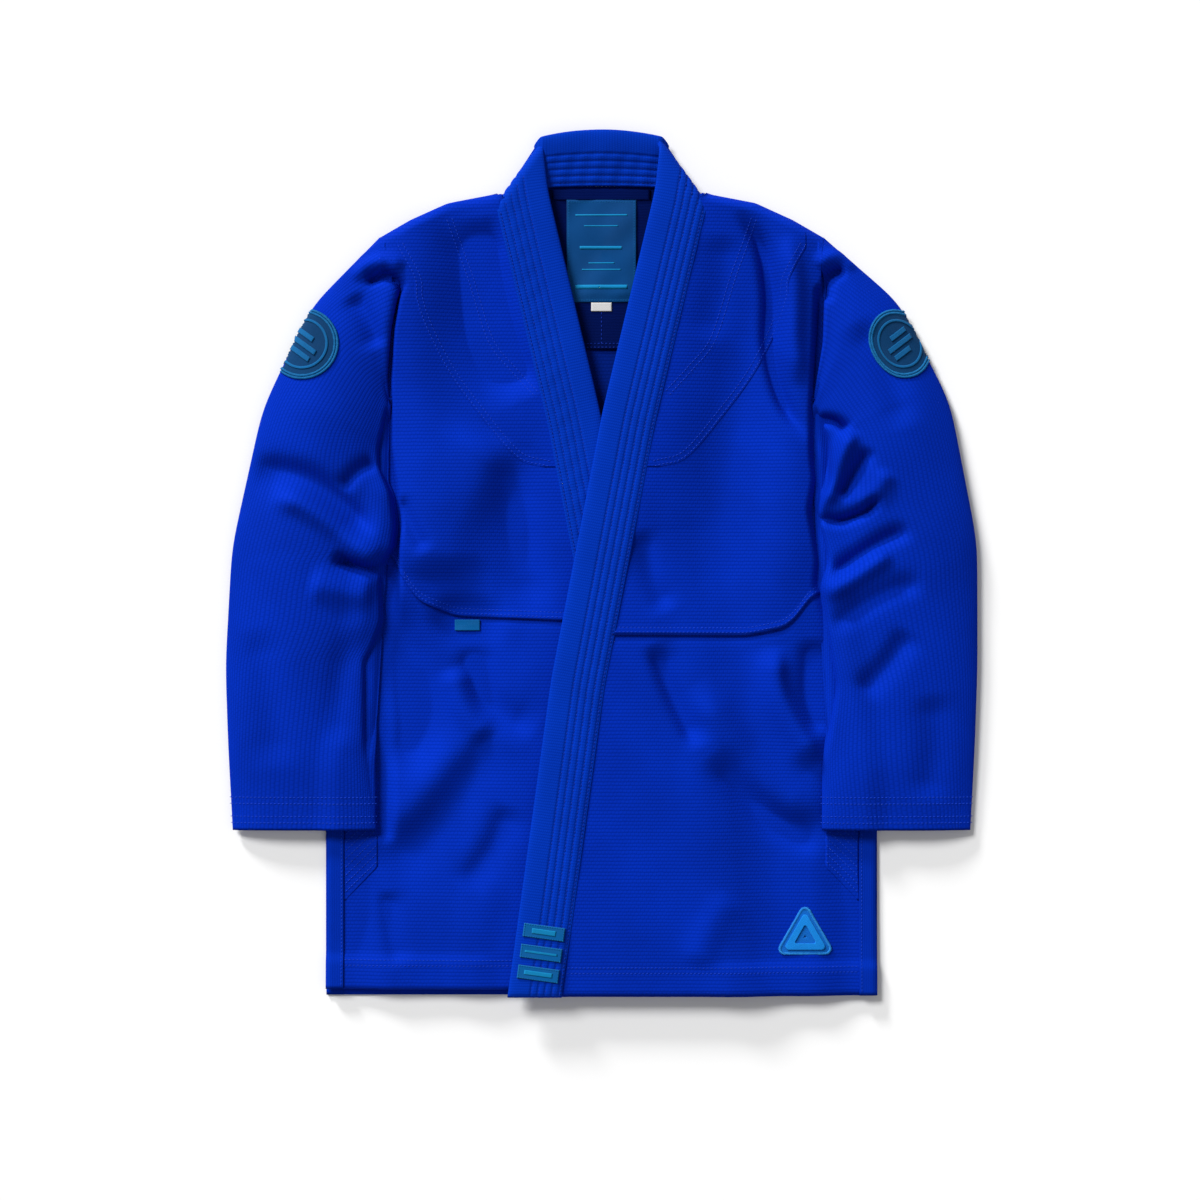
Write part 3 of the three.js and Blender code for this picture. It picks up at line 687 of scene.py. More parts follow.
def shoulder_patch(side):
    """Second layer of cloth over the shoulder and the chest's upper part."""
    name = side["name"]
    edge = curve(from_shoulder(PATCH_EDGE), 8)
    edge_x, edge_y = edge[np.argsort(edge[:, 1])].T
    rows = np.concatenate([np.linspace(SHOULDER_LINE[0][1] - 3, edge_y[-1], 26)[:-1],
                           np.linspace(edge_y[-1], edge_y[0] + 0.5, 130)])
    outer = np.where(rows > edge_y[-1], np.minimum(shoulder_x(rows + 4.5), edge[0, 0]),
                     np.interp(rows, edge_y, edge_x))
    y = rows[:, None]
    inner = np.minimum(lapel_x(y) + 47, outer[:, None] - 1.5)
    x = inner + (outer[:, None] - inner) * np.linspace(0, 1, 100)[None, :]
    z = front_level(side, x, y) + HALF + 0.15
    made = shell(f"shoulder_layer_{name}", stacked([x, y, z]), 0.15, 0.6, PEARL, side)
    bend(made, side, "body_cloth", f"shoulder_patch_{name}")


def band_place(u, s):
    """Plan place of a point of the lapel's band: u across from its inner edge, s down its inner edge."""
    d = (lapel_x(s + 2) - lapel_x(s - 2)) / 4
    run = np.hypot(1, d)
    return lapel_x(s) + BAND * u / run, s - BAND * u * d / run


ROWS = (0.42, 0.55, 0.68, 0.81, 0.94)       # rows of stitching across the band


def quilt(u, width, line):
    """Height over a band: rounded edges, and a groove as wide as line at each row of stitching."""
    crown = np.power(np.clip(1 - np.abs(2 * u - 1) ** 5, 0, 1), 0.5)
    groove = sum(np.exp(-np.square((u - row) * width / line)) for row in ROWS)
    return crown, groove


def band_roll(x, y, radius):
    """Turns the part past the turn line over and under, and gives how far its middle sinks."""
    run = (TURN_END - TURN_TOP) / np.hypot(*(TURN_END - TURN_TOP))
    out = np.array([-run[1], run[0]])
    past = (x - TURN_TOP[0]) * out[0] + (y - TURN_TOP[1]) * out[1] + radius + BAND_THICK / 2
    angle = np.clip(past / radius, 0, math.pi)
    moved = np.where(past > 0, radius * np.sin(angle) - np.maximum(past - math.pi * radius, 0) - past, 0)
    return x + out[0] * moved, y + out[1] * moved, np.where(past > 0, radius * (1 - np.cos(angle)), 0)


def lapel(side):
    """The band down a front's edge, from where it turns over behind the neck to the hem."""
    name = side["name"]
    u = np.concatenate([np.linspace(0, 0.1, 7)[:-1], np.linspace(0.1, 0.9, 62), np.linspace(0.9, 1, 7)[1:]])
    u = u[None, :]
    radius, low = side["band"] / 2, side["hem"]
    first = TURN_TOP[1] - 48 * u + math.pi * radius * 0.85
    s = first + (low - first) * np.linspace(0, 1, 300)[:, None]
    x, y = band_place(u, s)
    y = y + (low - y[-1:]) * smooth((low + 70 - y) / 70)
    x, y, sink = band_roll(x, y, radius)
    crown, groove = quilt(u, BAND, 1.15)
    wave = 0.175 * np.sin(s / 3.1 + 9 * u) * np.exp(-np.square((u - 0.68) / 0.2))
    middle = side["panel"] + 0.5 * ripple(x, y, 120, 11 + side["sign"]) - sink
    half = BAND_THICK / 2 - 0.1
    up = (0.8 + (half - 0.8) * crown) - 0.75 * groove + wave
    down = 0.8 + (half - 1.1) * crown
    end = np.where(s < 0, 0.35 + 0.65 * round_edge((y - low) / 5), 1)
    made = shell(f"lapel_{name}", stacked([x, y, middle]), up * end, down * end, TWILL, side,
                 stacked([u * BAND, s]))
    solids = [f"lapel_{kind}_{name}_{part}" for kind in ("cover", "core") for part in ("side", "flap")]
    bend(made, side, "band_cloth", *solids)
    lines = []
    for row in ROWS:
        s = np.arange(TURN_TOP[1] - 48 * row - 14, side["hem"] + 4, -3.0)
        x, y = band_place(row, s)
        keep = y > side["hem"] + 3
        z = side["panel"] + 0.5 * ripple(x, y, 120, 11 + side["sign"]) + half - 0.75
        lines.append(np.column_stack([x, y, z])[keep].tolist())
    rows = sewn(f"lapel_stitching_{name}", lines, side, BAND_THREAD, Pitch=0.0036, Length=0.0027,
                Width=0.0009)
    bend(rows, side, "band_cloth")


# ---- sleeves ----------------------------------------------------------------------------------
STATIONS = [0, 0.17, 0.34, 0.56, 0.74, 0.87, 1]
LEFT["arm"] = np.array([(203, 297), (312, 240), (356, 80), (344, -95)], float)
RIGHT["arm"] = np.array([(203, 297), (298, 236), (346, 70), (344, -95)], float)
for side in SIDES:
    a, b, c, d = side["arm"]
    outer = np.array([*[(1 - t)**3 * a + 3 * t * (1 - t)**2 * b + 3 * t * t * (1 - t) * c + t**3 * d
                        for t in (0, 0.25, 0.5, 0.78, 1)], (341.5, -170), (337.5, CUFF_Y)])
    side["outer_x"] = eased(STATIONS, outer[:, 0], 0.035, 0.005)
    side["outer_y"] = eased(STATIONS, outer[:, 1], 0.035, 0.005)
INNER_Y = [ARMPIT[1], 140, 105, 20, -95, -170, CUFF_Y]
inner_y = eased(STATIONS, INNER_Y, 0.035, 0.005)
LEFT["inner"] = eased([CUFF_Y, -194, -175, -114, -72, -22, 1, 47, 75, 110, 128, ARMPIT[1]],
                      [203, 203, 204, 214, 207, 199, 206, 196, 208, 208, 200, 194], 7)
RIGHT["inner"] = eased([CUFF_Y, -235, -170, -90, -76, -54, -23, 3, 12, 34, 62, 85, 105, 130, ARMPIT[1]],
                       [207, 208, 215, 215, 207, 199, 201, 198, 189, 187, 191, 202, 203, 198, 195], 5)


def sleeve_at(side, s, turn):
    """Middle surface of a sleeve: s down the arm, turn round it from the inner edge over the top."""
    share = (1 - np.cos(turn)) / 2
    low_y = inner_y(s)
    low_x = side["inner"](low_y)
    over = np.sin(turn) >= 0
    kept = np.where(over, smooth(turn / 0.2), 0.0)
    base_x = np.minimum(low_x, np.interp(low_y, [CUFF_Y, -180, 0, ARMPIT[1]], [208, 208, 197, 194]))
    low_x = base_x + (low_x - base_x) * kept
    x = low_x + (side["outer_x"](s) - low_x) * share
    y = low_y + (side["outer_y"](s) - low_y) * share
    near = (1 - smooth(s * 430 / 60)) * smooth((y - ARMPIT[1] + 30) / 30) * (1 - smooth((share - 0.76) / 0.2))
    x = x + np.where(over, side["seam"](y), -9.0) * near
    arc = np.sign(np.sin(turn)) * np.abs(np.sin(turn)) ** 0.75
    beyond = smooth((x - np.interp(y, [CUFF_Y - 20, VENT_Y, HEM + 358, ARMPIT[1], SHOULDER[1]],
                                   [HEM_X, HEM_X, 226, 193, 203]) + 14) / 26)
    floor = (SIDE_LEVEL + HALF + 1.6) * (1 - beyond) + 1.3 * beyond
    fullness = np.interp(s, [0, 0.1, 0.3, 0.55, 0.8, 1], [15, 19, 25, 24, 19, 13.5])
    edge = np.interp(s, [0, 0.1, 0.3, 0.8, 1], [9, 11, 12, 10, 8])
    high = edge + (fullness - edge) * np.sin(math.pi * np.clip(share, 0, 1)) ** 0.8
    z = floor + high * (0.5 + 0.5 * arc)
    ledge = np.where(over, 1 - smooth((turn - 0.16) / 0.26), smooth((turn - 2 * math.pi + 0.5) / 0.3))
    ledge = ledge * smooth((ARMPIT[1] - 6 - y) / 16) * smooth((y - CUFF_Y - 60) / 40)
    z = z * (1 - ledge) + floor * ledge
    bulk = 2.1 * folds(side["sleeve_folds"], x, y) + 1.4 * ripple(x, y, 120, 21 + side["sign"])
    z = z + np.where(over, bulk * np.clip(arc * 1.5, 0, 1), 0)
    length = s * 430
    joined = smooth((y - JOIN_Y) / 14)
    rise = round_edge(length / side["rise"])
    fit = rise + (1 - rise) * joined
    z = np.where(over, z * fit + (4.1 + CLOTH) * (1 - fit), z)
    x = x - np.where(over, 5.0 * joined * (1 - smooth(length / 20))
                     + 1.2 * (1 - joined) * np.sin(math.pi * np.clip(length / 12, 0, 1)), 0)
    mix = (1 - smooth(length / 26)) * joined
    shoulder_level = front_level(side, x, np.maximum(y, JOIN_Y)) + HALF - 0.15
    z = np.where(over, z * (1 - mix) + shoulder_level * mix, z)
    return stacked([x, y, np.maximum(z, 1.2)])


def sleeve_under(side, x, y):
    """Where on a sleeve a point in plan lies: s and the turn, on the underside past the outer edge."""
    x, y = np.broadcast_arrays(np.asarray(x, float), np.asarray(y, float))
    s, q = np.full(x.shape, 0.35), np.full(x.shape, 0.6)

    def plan(s, q):
        low_y = inner_y(s)
        low_x = side["inner"](low_y)
        return low_x + (side["outer_x"](s) - low_x) * q, low_y + (side["outer_y"](s) - low_y) * q

    for _ in range(25):
        px, py = plan(s, q)
        ax, ay = [(c - d) / 0.01 for c, d in zip(plan(s + 0.01, q), (px, py))]
        bx, by = [(c - d) / 0.01 for c, d in zip(plan(s, q + 0.01), (px, py))]
        size = ax * by - ay * bx
        ds = ((x - px) * by - (y - py) * bx) / size
        dq = ((y - py) * ax - (x - px) * ay) / size
        s, q = np.clip(s + 0.7 * ds, 0.01, 1), np.clip(q + 0.7 * dq, 0.02, 1.6)
    turn = np.arccos(1 - 2 * np.clip(np.minimum(q, 2 - q), 0, 1))
    return s, np.where(q > 1, 2 * math.pi - turn, turn)


def sleeve_skin(side, s, turn, lift):
    """Points on a sleeve's outside, lifted off it."""
    s, turn = np.broadcast_arrays(np.asarray(s, float), np.asarray(turn, float))
    here = sleeve_at(side, s, turn)
    n = np.cross(sleeve_at(side, s, turn + 0.03) - sleeve_at(side, s, turn - 0.03),
                 sleeve_at(side, s + 0.004, turn) - sleeve_at(side, s - 0.004, turn))
    n = -n / np.maximum(np.linalg.norm(n, axis=-1, keepdims=True), 1e-9)
    return here + n * (HALF + np.asarray(lift)[..., None])


def sleeve(side):
    """A sleeve's tube of cloth, thinned where it runs on from the shoulder, with a tape inside the cuff."""
    name = side["name"]
    s = np.concatenate([np.linspace(0, 0.06, 16)[:-1], np.linspace(0.06, 1, 190)])[:, None]
    around = np.linspace(0, 2 * math.pi, 150, endpoint=False)[None, :]
    grid = sleeve_at(side, s, around)
    width = 140 * around / math.pi
    thin = smooth((grid[..., 1] - JOIN_Y + 8) / 14) * (1 - smooth(s * 430 / 16)) * (np.sin(around) >= 0)
    made = shell(f"sleeve_{name}_cloth", grid, HALF * (1 - 0.8 * thin), HALF, PEARL_SLEEVE, side,
                 stacked([width, -s * 500]), wrap=True)
    swing(made, side, "body_cloth", f"sleeve_{name}")
    s = np.linspace(0.945, 0.997, 10)[:, None]
    grid = sleeve_at(side, s, around)
    inside = shell(f"cuff_tape_{name}_inside", grid + normals_of(grid, True) * 1.9, 0.5, 0.5, TAPE, side,
                   stacked([-s * 500, width]), wrap=True)
    swing(inside, side, "tape", f"cuff_tape_{name}")
    ring = np.linspace(0, 2 * math.pi, 180)
    lines = [sleeve_skin(side, at, ring, 0.15).tolist() for at in (0.948, 0.958, 0.978, 0.988)]
    rows = sewn(f"cuff_stitching_{name}", lines, side, Pitch=0.0036, Length=0.0026)
    swing(rows, side, "body_cloth")


# ---- back, collar and what is inside the neck -------------------------------------------------
def back():
    """The back, its skirt below the waist seam, and its hem, flat on the floor, their up-facing inner faces
    darker as painted shade.
    """
    z = HALF + 0.05
    y = np.concatenate([np.linspace(NECK + 3, SHOULDER[1], 18)[:-1], np.arange(SHOULDER[1], -60, -5.0),
                        [-62.6]])[:, None]
    t = np.linspace(-1, 1, 91)[None, :]
    made = shell("back", stacked([out_x(y) * t, y, z]), HALF, HALF, PEARL)
    stay(made, "body_cloth", "back_panel")
    y = np.concatenate([np.arange(-61.8, HEM + 28, -6.0), [HEM + 25]])[:, None]
    below = shell("back_skirt_cloth", stacked([out_x(y) * t, y, z]), HALF, HALF, PEARL)
    stay(below, "body_cloth", "back_skirt")
    # Up-facing faces take the darker weave: painted shade where the back shows inside the neck.
    for piece in (made, below):
        piece.data.materials.append(PEARL_INNER_PAINTED_SHADE)
        for face in piece.data.polygons:
            face.material_index = int(face.normal.z > 0.5)
    y = np.linspace(HEM + 25.6, HEM + 0.4, 10)[:, None]
    strip = shell("back_hem", stacked([HEM_X * t, y, z]), HALF, HALF, PEARL)
    stay(strip, "body_cloth", "hem_back")


def plan_of(low, high, cells):
    """A rectangle's points in plan: columns outwards, rows down the jacket."""
    return np.meshgrid(np.linspace(low[0], high[0], cells[0]), np.linspace(high[1], low[1], cells[1]))


def yoke():
    """The lining inside the back, below the collar."""
    low, high = box("back_yoke")
    x, y = plan_of(low, high, (80, 60))
    z = (low[2] + high[2]) / 2 + 0.12 * ripple(x, y, 70, 5) + 0.1
    # The lining's dark colour is painted shade inside the neck.
    made = shell("yoke_lining", stacked([x, y, z]), 0.55, 0.55, LINING_PAINTED_SHADE)
    stay(made, "body_cloth", "back_yoke")
    top = high[2] + 0.25
    edge = [[(x, low[1] + rise, top) for x in np.arange(low[0] + 2, high[0] - 2, 3)] for rise in (2.5, 6)]
    middle = [(0, y, top) for y in np.arange(box("size_tag")[0][1] - 2, low[1] + 4, -3)]
    rows = sewn("yoke_stitching", [*edge, middle], thread_of=BAND_THREAD)
    stay(rows)


def collar():
    """The band behind the neck: its top edge stands higher, and it slips under both lapels."""
    t = np.linspace(-1, 1, 150)[None, :]
    v = np.linspace(0, 1, 90)[:, None]
    top_y = TOP - 2 - 6.5 * t**2
    low_y = NECK + 3 - 4 * t**2
    x = (55 + 32 * v) * t
    y = top_y + (low_y - top_y) * v
    tucked = smooth((np.abs(x) - (53 - 4 * v)) / 9)
    z = (11.5 - 7.0 * smooth(v * 1.05)) * (1 - tucked) + 4.2 * tucked
    z = z + 0.35 * ripple(x, y, 45, 8) * (1 - tucked)
    crown, groove = quilt(v, 52, 1.2)
    up = 0.6 + 2.6 * crown - 0.95 * groove + 0.25 * np.sin(x / 2.4 + 5 * v) * smooth((v - 0.36) / 0.1)
    down = np.minimum(0.6 + 2.4 * crown, z - 0.3)
    made = shell("collar", stacked([x, y, z]), up, down, TWILL, uv=stacked([v * BAND, x]))
    stay(made, "band_cloth", "collar_cover", "collar_core")
    lines = []
    for row in ROWS:
        k = int(row * (len(v) - 1))
        keep = np.abs(x[k]) < 60
        lines.append(np.column_stack([x[k], y[k], z[k] + up[k] + 0.1])[keep].tolist())
    rows = sewn("collar_stitching", lines, thread_of=BAND_THREAD, Pitch=0.0036, Length=0.0027)
    stay(rows)


def flat_piece(name, node, skin, thick, lift, ride_on, cells=(30, 30), ruffle=0.25):
    """A label, tape or tab of thin cloth in the place of its solid."""
    low, high = box(node)
    x, y = plan_of(low, high, cells)
    z = (low[2] + high[2]) / 2 + lift + ruffle * ripple(x, y, 50, 9)
    made = shell(name, stacked([x, y, z]), thick / 2, thick / 2, skin)
    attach(made, ride_on)
    stands_for(made, [node])


def label_level(x, y):
    """Middle of the label: flat where the tag hangs from it, a little puckered above."""
    low, high = box("neck_label")
    free = smooth((y - low[1]) / 9)
    return (low[2] + high[2]) / 2 + free * (0.8 + 0.65 * ripple(x, y, 36, 9))


def labels():
    """The tape along the collar's seam, the neck label with its woven bands, and the size tag."""
    # The tape takes the lining's dark colour: painted shade inside the neck.
    flat_piece("neck_tape_cloth", "neck_tape", LINING_PAINTED_SHADE, 0.7, 0.2, "torso")
    low, high = box("neck_label")
    x, y = plan_of(low, high, (64, 90))
    made = shell("label_cloth", stacked([x, y, label_level(x, y)]), 0.25, 0.25, SATIN)
    stay(made, "satin_label", "neck_label")
    for i, (rise, half_width, thick) in enumerate(((80, 24, 1.6), (70, 16, 1.2), (50, 20, 3.2), (36, 12, 1.2),
                                                   (30, 18, 1.2), (14, 24, 4.0))):
        x = np.arange(-half_width, half_width + 0.1, 1.5)[None, :]
        y = low[1] + rise + np.array([0.5, 0, -0.5])[:, None] * thick
        level = label_level(x, y) + 0.22
        mark = shell(f"label_band_{i + 1}", stacked([x, y, level]), 0.14, 0.14, SATIN_LIGHT)
        stay(mark, "satin_label")
    left, right, foot, head = low[0] + 2, high[0] - 2, low[1] + 2, high[1] - 2
    sides = [straight(a, b, 2) for a, b in (((left, head), (right, head)), ((left, foot), (right, foot)),
                                            ((left, foot), (left, head)), ((right, foot), (right, head)))]
    lines = [np.column_stack([p, label_level(p[:, 0], p[:, 1]) + 0.3]).tolist() for p in sides]
    rows = sewn("label_stitching", lines, thread_of=RIM_THREAD, Pitch=0.0024, Length=0.0018, Width=0.0005,
                Height=0.0004)
    stay(rows)
    flat_piece("size_tag_cloth", "size_tag", WHITE_TAG, 0.45, -0.05, "size_tag", (16, 10), 0.03)


def waist_tab():
    """Folded satin tab, free below the seam that holds it."""
    low, high = box("waist_tab")
    x, y = plan_of(low, high, (28, 16))
    z = (low[2] + high[2]) / 2 + 0.25 * np.sin((x - low[0]) / 7.5) * smooth((high[1] - y) / 6)
    loop = 0.5 - 0.14 * smooth((y - low[1] - 1.2) / 2) * smooth((high[1] - 1 - y) / 2)
    made = shell("waist_tab_cloth", stacked([x, y, z]), loop, 0.5, SATIN_BAR)
    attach(made, "waist_tab")
    stands_for(made, ["waist_tab"])


# ---- tapes, patches and bars ------------------------------------------------------------------
def vents(side):
    """Tapes on both edges of a side vent."""
    name = side["name"]
    for place in ("back", "front"):
        node = f"vent_tape_{place}_{name}"
        low = side["hem"] if place == "front" else HEM
        y = np.concatenate([np.arange(VENT_Y, low + 1.5, -3.0), [low + 0.3]])[:, None]
        x = VENT_X + (HEM_X + 0.4 - VENT_X) * np.linspace(0, 1, 16)[None, :] + 0 * y
        if place == "front":
            z = front_level(side, np.minimum(x, HEM_X - 5), y) + HALF + 0.6
            z = z - 2.0 * np.square(np.clip((x - HEM_X + 5) / 5, 0, 1))
        else:
            z = 1.2
        half = 0.5 if place == "front" else 1.1
        made = shell(f"vent_tape_{place}_{name}_cloth", stacked([x, y, z]), half, half, TAPE, side)
        stay(made, "tape", node)
        if place == "front":
            line = [(VENT_X + 2.2, v) for v in np.arange(VENT_Y - 2, low + 3, -3.0)]
            rows = sewn(f"vent_stitching_{name}", [on_front(side, line, 1.25)], side)
            stay(rows)


def gusset(side):
    """Reinforcement beside the vent's top, held by slanting rows."""
    name = side["name"]
    low, high = box(f"vent_gusset_{name}")
    inner, outer = (low[0], high[0]) if side["sign"] > 0 else (-high[0], -low[0])
    y = np.linspace(high[1], low[1], 60)[:, None]
    t = np.linspace(0, 1, 16)[None, :]
    width = outer - inner
    slant = np.clip(np.minimum(high[1] - y, y - low[1]) / width, 0.04, 1)
    x = outer - width * slant * (1 - t)
    z = front_level(side, x, y) + HALF + 0.15
    made = shell(f"vent_gusset_{name}_cloth", stacked([x, y, z]), 0.12, 0.3, PEARL, side)
    stay(made, "tape", f"vent_gusset_{name}")
    lines = []
    for rise in np.arange(6, high[1] - low[1] - width, 7.5):
        a, b = (inner + 2, low[1] + rise + width - 2), (outer - 2, low[1] + rise + 3)
        lines.append(on_front(side, straight(a, b), 0.5))
    rows = sewn(f"vent_gusset_stitching_{name}", lines, side)
    stay(rows)


def round_patch(name, place, inner, outer, low, high, skin, side):
    """A ring, or a disc from a small hole, raised from low to high over the cloth under it."""
    turn = np.linspace(0, 2 * math.pi, 72, endpoint=False)[None, :]
    r = np.linspace(inner, outer, max(4, int((outer - inner) / 1.1)))[:, None]
    middle = place(r * np.cos(turn), r * np.sin(turn), (low + high) / 2)
    return shell(name, middle[::-1], (high - low) / 2, (high - low) / 2, skin, side,
                 stacked([r * np.cos(turn), r * np.sin(turn)])[::-1], wrap=True)


def roundel(side):
    """Round patch near the top of a sleeve, bent over the arm's outer edge."""
    name = side["name"]
    radius = 33.0
    centre = np.array([272.5, SHOULDER[1] - 98])
    squeeze = 0.82 if side is LEFT else 1.0
    tilt = math.radians(30)
    across = np.array([math.cos(tilt), math.sin(tilt)])

    def place(a, b, lift):
        x = centre[0] + a * squeeze * across[0] - b * across[1]
        y = centre[1] + a * squeeze * across[1] + b * across[0]
        s, turn = sleeve_under(side, x, y)
        return sleeve_skin(side, s, turn, lift)

    parts = [("field", 0.6, radius - 2, 0.2, 1.0, FIELD),
             ("ring", radius - 12, radius - 9.5, 0.9, 1.6, MOTIF)]
    for part, inner, outer, low, high, skin in parts:
        made = round_patch(f"roundel_{part}_{name}", place, inner, outer, low, high, skin, side)
        swing(made, side, "embroidered_patch", *([f"roundel_{name}"] if part == "field" else []))
    for k, (slide, half) in enumerate(((-8.5, 10), (0, 15), (8.5, 10))):
        a = np.linspace(-half, half, 24)[None, :] + slide * 0.35
        b = slide + np.linspace(2.4, -2.4, 8)[:, None] + 0.12 * a
        bar = shell(f"roundel_bar_{k + 1}_{name}", place(a, b, 1.4), 0.5, 0.5, MOTIF, side)
        swing(bar, side, "embroidered_patch")
    turn = np.linspace(0, 2 * math.pi, 120)
    rims = [place(r * np.cos(turn), r * np.sin(turn), 1.0).tolist() for r in (radius - 1.2, radius - 3.6)]
    rows = sewn(f"roundel_rim_{name}", rims, side, RIM_THREAD, Pitch=0.0011, Length=0.0030, Width=0.0013,
                Height=0.0018, Turn=1.2)
    swing(rows, side, "embroidered_patch")


def triangle_outline(centre, radius, corner, count=10):
    """A triangle's outline with corners rounded to a radius."""
    points = []
    for i in range(3):
        angle = math.pi / 2 + i * 2 * math.pi / 3
        at = np.array(centre) + (radius - 2 * corner) * np.array([math.cos(angle), math.sin(angle)])
        for t in np.linspace(-math.pi / 3, math.pi / 3, count):
            points.append(at + corner * np.array([math.cos(angle + t), math.sin(angle + t)]))
    return np.array(points)


def triangle():
    """Embroidered patch above the left hem: a field, a raised triangle ring on it, and its rim."""
    low, high = box("skirt_patch")
    centre = ((low[0] + high[0]) / 2, low[1] + (high[1] - low[1]) / 2.6)
    radius = (high[1] - low[1]) * 0.76

    def layer(name, size, corner, hole, bottom, top, skin):
        rim = triangle_outline(centre, size, corner)
        rings = np.linspace(hole, 1, 14)[::-1, None, None]
        plan = np.array(centre) + (rim - centre)[None] * rings
        x, y = plan[..., 0], plan[..., 1]
        z = front_level(LEFT, x, y) + HALF + (bottom + top) / 2
        return shell(name, stacked([x, y, z]), (top - bottom) / 2, (top - bottom) / 2, skin, wrap=True)

    base = layer("triangle_field", radius, 5, 0.03, 0.1, 1.0, BRIGHT_FIELD)
    stay(base, "embroidered_patch", "skirt_patch")
    inner = layer("triangle_motif", radius * 0.74, 3, 0.5, 0.9, 2.2, BRIGHT)
    stay(inner, "embroidered_patch")
    rim = triangle_outline(centre, radius - 1.2, 4.4, 14)
    line = on_front(LEFT, np.vstack([rim, rim[:2]]), 0.9)
    rows = sewn("triangle_rim", [line], LEFT, BRIGHT_THREAD, Pitch=0.0011, Length=0.0034, Width=0.0013,
                Height=0.0016, Turn=1.25)
    stay(rows, "embroidered_patch")


def bars():
    """Woven bars across the lapel, sewn at their ends."""
    top = LEFT["panel"] + BAND_THICK / 2
    run = np.array([lapel_x(HEM + 60) - lapel_x(HEM), 60.0])
    run /= np.hypot(*run)
    across = np.array([run[1], -run[0]])
    for i in (1, 2, 3):
        low, high = box(f"lapel_bar_{i}")
        centre = (low[:2] + high[:2]) / 2
        u = np.linspace(-19, 19, 30)[None, :, None]
        v = np.linspace(6.2, -6.2, 14)[:, None, None]
        plan = centre + u * across + v * run
        made = shell(f"woven_bar_{i}", stacked([plan[..., 0], plan[..., 1], top + 0.45]), 0.45, 0.45,
                     SATIN_BAR, uv=stacked([u[..., 0], v[..., 0]]))
        bend(made, LEFT, "satin_label", f"lapel_bar_{i}")
        reach, thick = [(13, 4.2), (15, 2.0), (11, 5.0)][i - 1]
        u = np.linspace(-reach, reach, 20)[None, :, None]
        v = np.linspace(thick / 2, -thick / 2, 6)[:, None, None]
        plan = centre + u * across + v * run
        mark = shell(f"woven_bar_mark_{i}", stacked([plan[..., 0], plan[..., 1], top + 0.9]), 0.25, 0.25,
                     SATIN_LIGHT)
        bend(mark, LEFT, "satin_label")
        ends = [[(*(centre + across * end * 18 + run * w), top + 1.1) for w in np.linspace(-5.5, 5.5, 8)]
                for end in (-1, 1)]
        edges = [[(*(centre + across * w + run * edge * 5.4), top + 1.1) for w in np.linspace(-18, 18, 20)]
                 for edge in (-1, 1)]
        rows = sewn(f"woven_bar_stitching_{i}", [*ends, *edges], LEFT, RIM_THREAD, Pitch=0.0022,
                    Length=0.0017, Width=0.0005, Height=0.0005)
        bend(rows, LEFT)


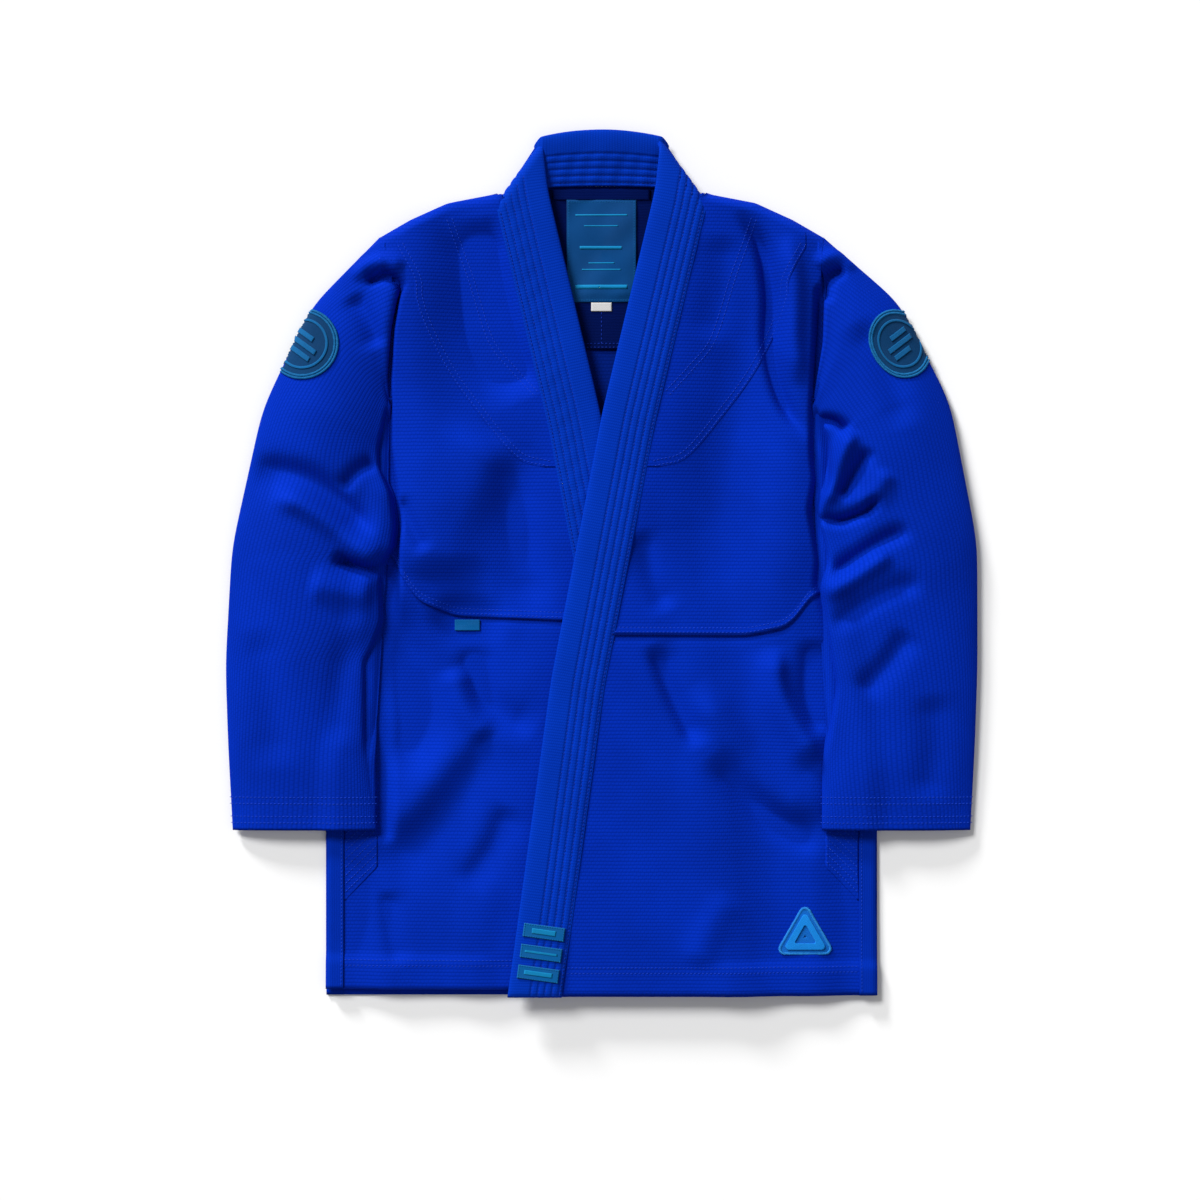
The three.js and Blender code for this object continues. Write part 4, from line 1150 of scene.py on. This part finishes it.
def seams(side):
    """Double rows over the shoulder, along the waist and above the hem."""
    lines = []
    yoke = curve(from_shoulder(YOKE_SEAM), 8)
    edge = curve(from_shoulder(PATCH_EDGE), 8)
    for line, near, far in ((yoke, -2.4, 2.4), (edge, -6.6, -1.8)):
        for d in (near, far):
            moved = offset(line, d)
            keep = moved[:, 0] > lapel_x(moved[:, 1]) + 52
            lines.append(on_front(side, moved[keep], 0.5))
    x = np.arange(tuck_x(side["waist"]) + 8, 196, 3.0)
    for rise in (3.2, 7.4):
        y = side["waist_y"](x) + rise
        top = front_level(side, x, y) + HALF + 1.35 * (1 - smooth((y - side["waist_y"](x)) / 9)) + 0.1
        lines.append(np.column_stack([x, y, top]).tolist())
    for rise in (22, 27):
        y = side["hem"] + rise
        x = np.arange(tuck_x(y) + 9, VENT_X - 1, 3.0)
        lines.append(on_front(side, np.column_stack([x, y + 0 * x]), 0.15))
    rows = sewn(f"seam_stitching_{side['name']}", lines, side, Pitch=0.0036, Length=0.0026, Width=0.0007,
                Height=0.0005)
    bend(rows, side, "body_cloth")


# ---- the jacket -------------------------------------------------------------------------------
back()
yoke()
collar()
labels()
for side in SIDES:
    chest(side)
    skirt(side)
    hem(side)
    shoulder_patch(side)
    lapel(side)
    sleeve(side)
    vents(side)
    gusset(side)
    roundel(side)
    seams(side)
waist_tab()
triangle()
bars()


# ---- floor, light and camera ------------------------------------------------------------------
def stage():
    """Pale floor, soft overcast light and a key light from the upper left."""
    mesh = bpy.data.meshes.new("floor")
    mesh.from_pydata([(-90, -90, 0), (90, -90, 0), (90, 90, 0), (-90, 90, 0)], [], [(0, 1, 2, 3)])
    floor = bpy.data.objects.new("floor", mesh)
    bpy.context.scene.collection.objects.link(floor)
    # Matt coated paper: an even white with no shine.
    paper = material("matt_white_paper", Base_Color=colour("#F0F0F0"), Roughness=0.9)[0]
    mesh.materials.append(paper)
    world = bpy.data.worlds.new("studio")
    bpy.context.scene.world = world
    world.use_nodes = True
    sky = world.node_tree.nodes["Background"]
    sky.inputs["Color"].default_value = colour("#FFFFFF")
    sky.inputs["Strength"].default_value = 0.24
    for name, height, across, strength, spread in (("key", 40, -42, 2.75, 20), ("low", 17, -31, 3.0, 9),
                                                   ("fill", 60, 130, 0.3, 60)):
        light = bpy.data.lights.new(name, "SUN")
        light.energy, light.angle = strength, math.radians(spread)
        lamp = bpy.data.objects.new(name, light)
        bpy.context.scene.collection.objects.link(lamp)
        lamp.rotation_euler = (math.radians(90 - height), 0, math.radians(180 - across))


def camera():
    """Straight above the jacket, with a little more room below it than above."""
    low, high = cad_box
    floor_width = 1.104             # what the picture takes in at the floor, in metres
    lens = bpy.data.cameras.new("camera")
    lens.lens, lens.sensor_width = 85, 36
    made = bpy.data.objects.new("camera", lens)
    bpy.context.scene.collection.objects.link(made)
    height = floor_width * lens.lens / lens.sensor_width
    made.location = ((low.x + high.x) / 2 - 0.0014, (low.y + high.y) / 2 - 0.035, height)
    bpy.context.scene.camera = made


stage()
camera()
bpy.context.scene.view_settings.view_transform = "Standard"
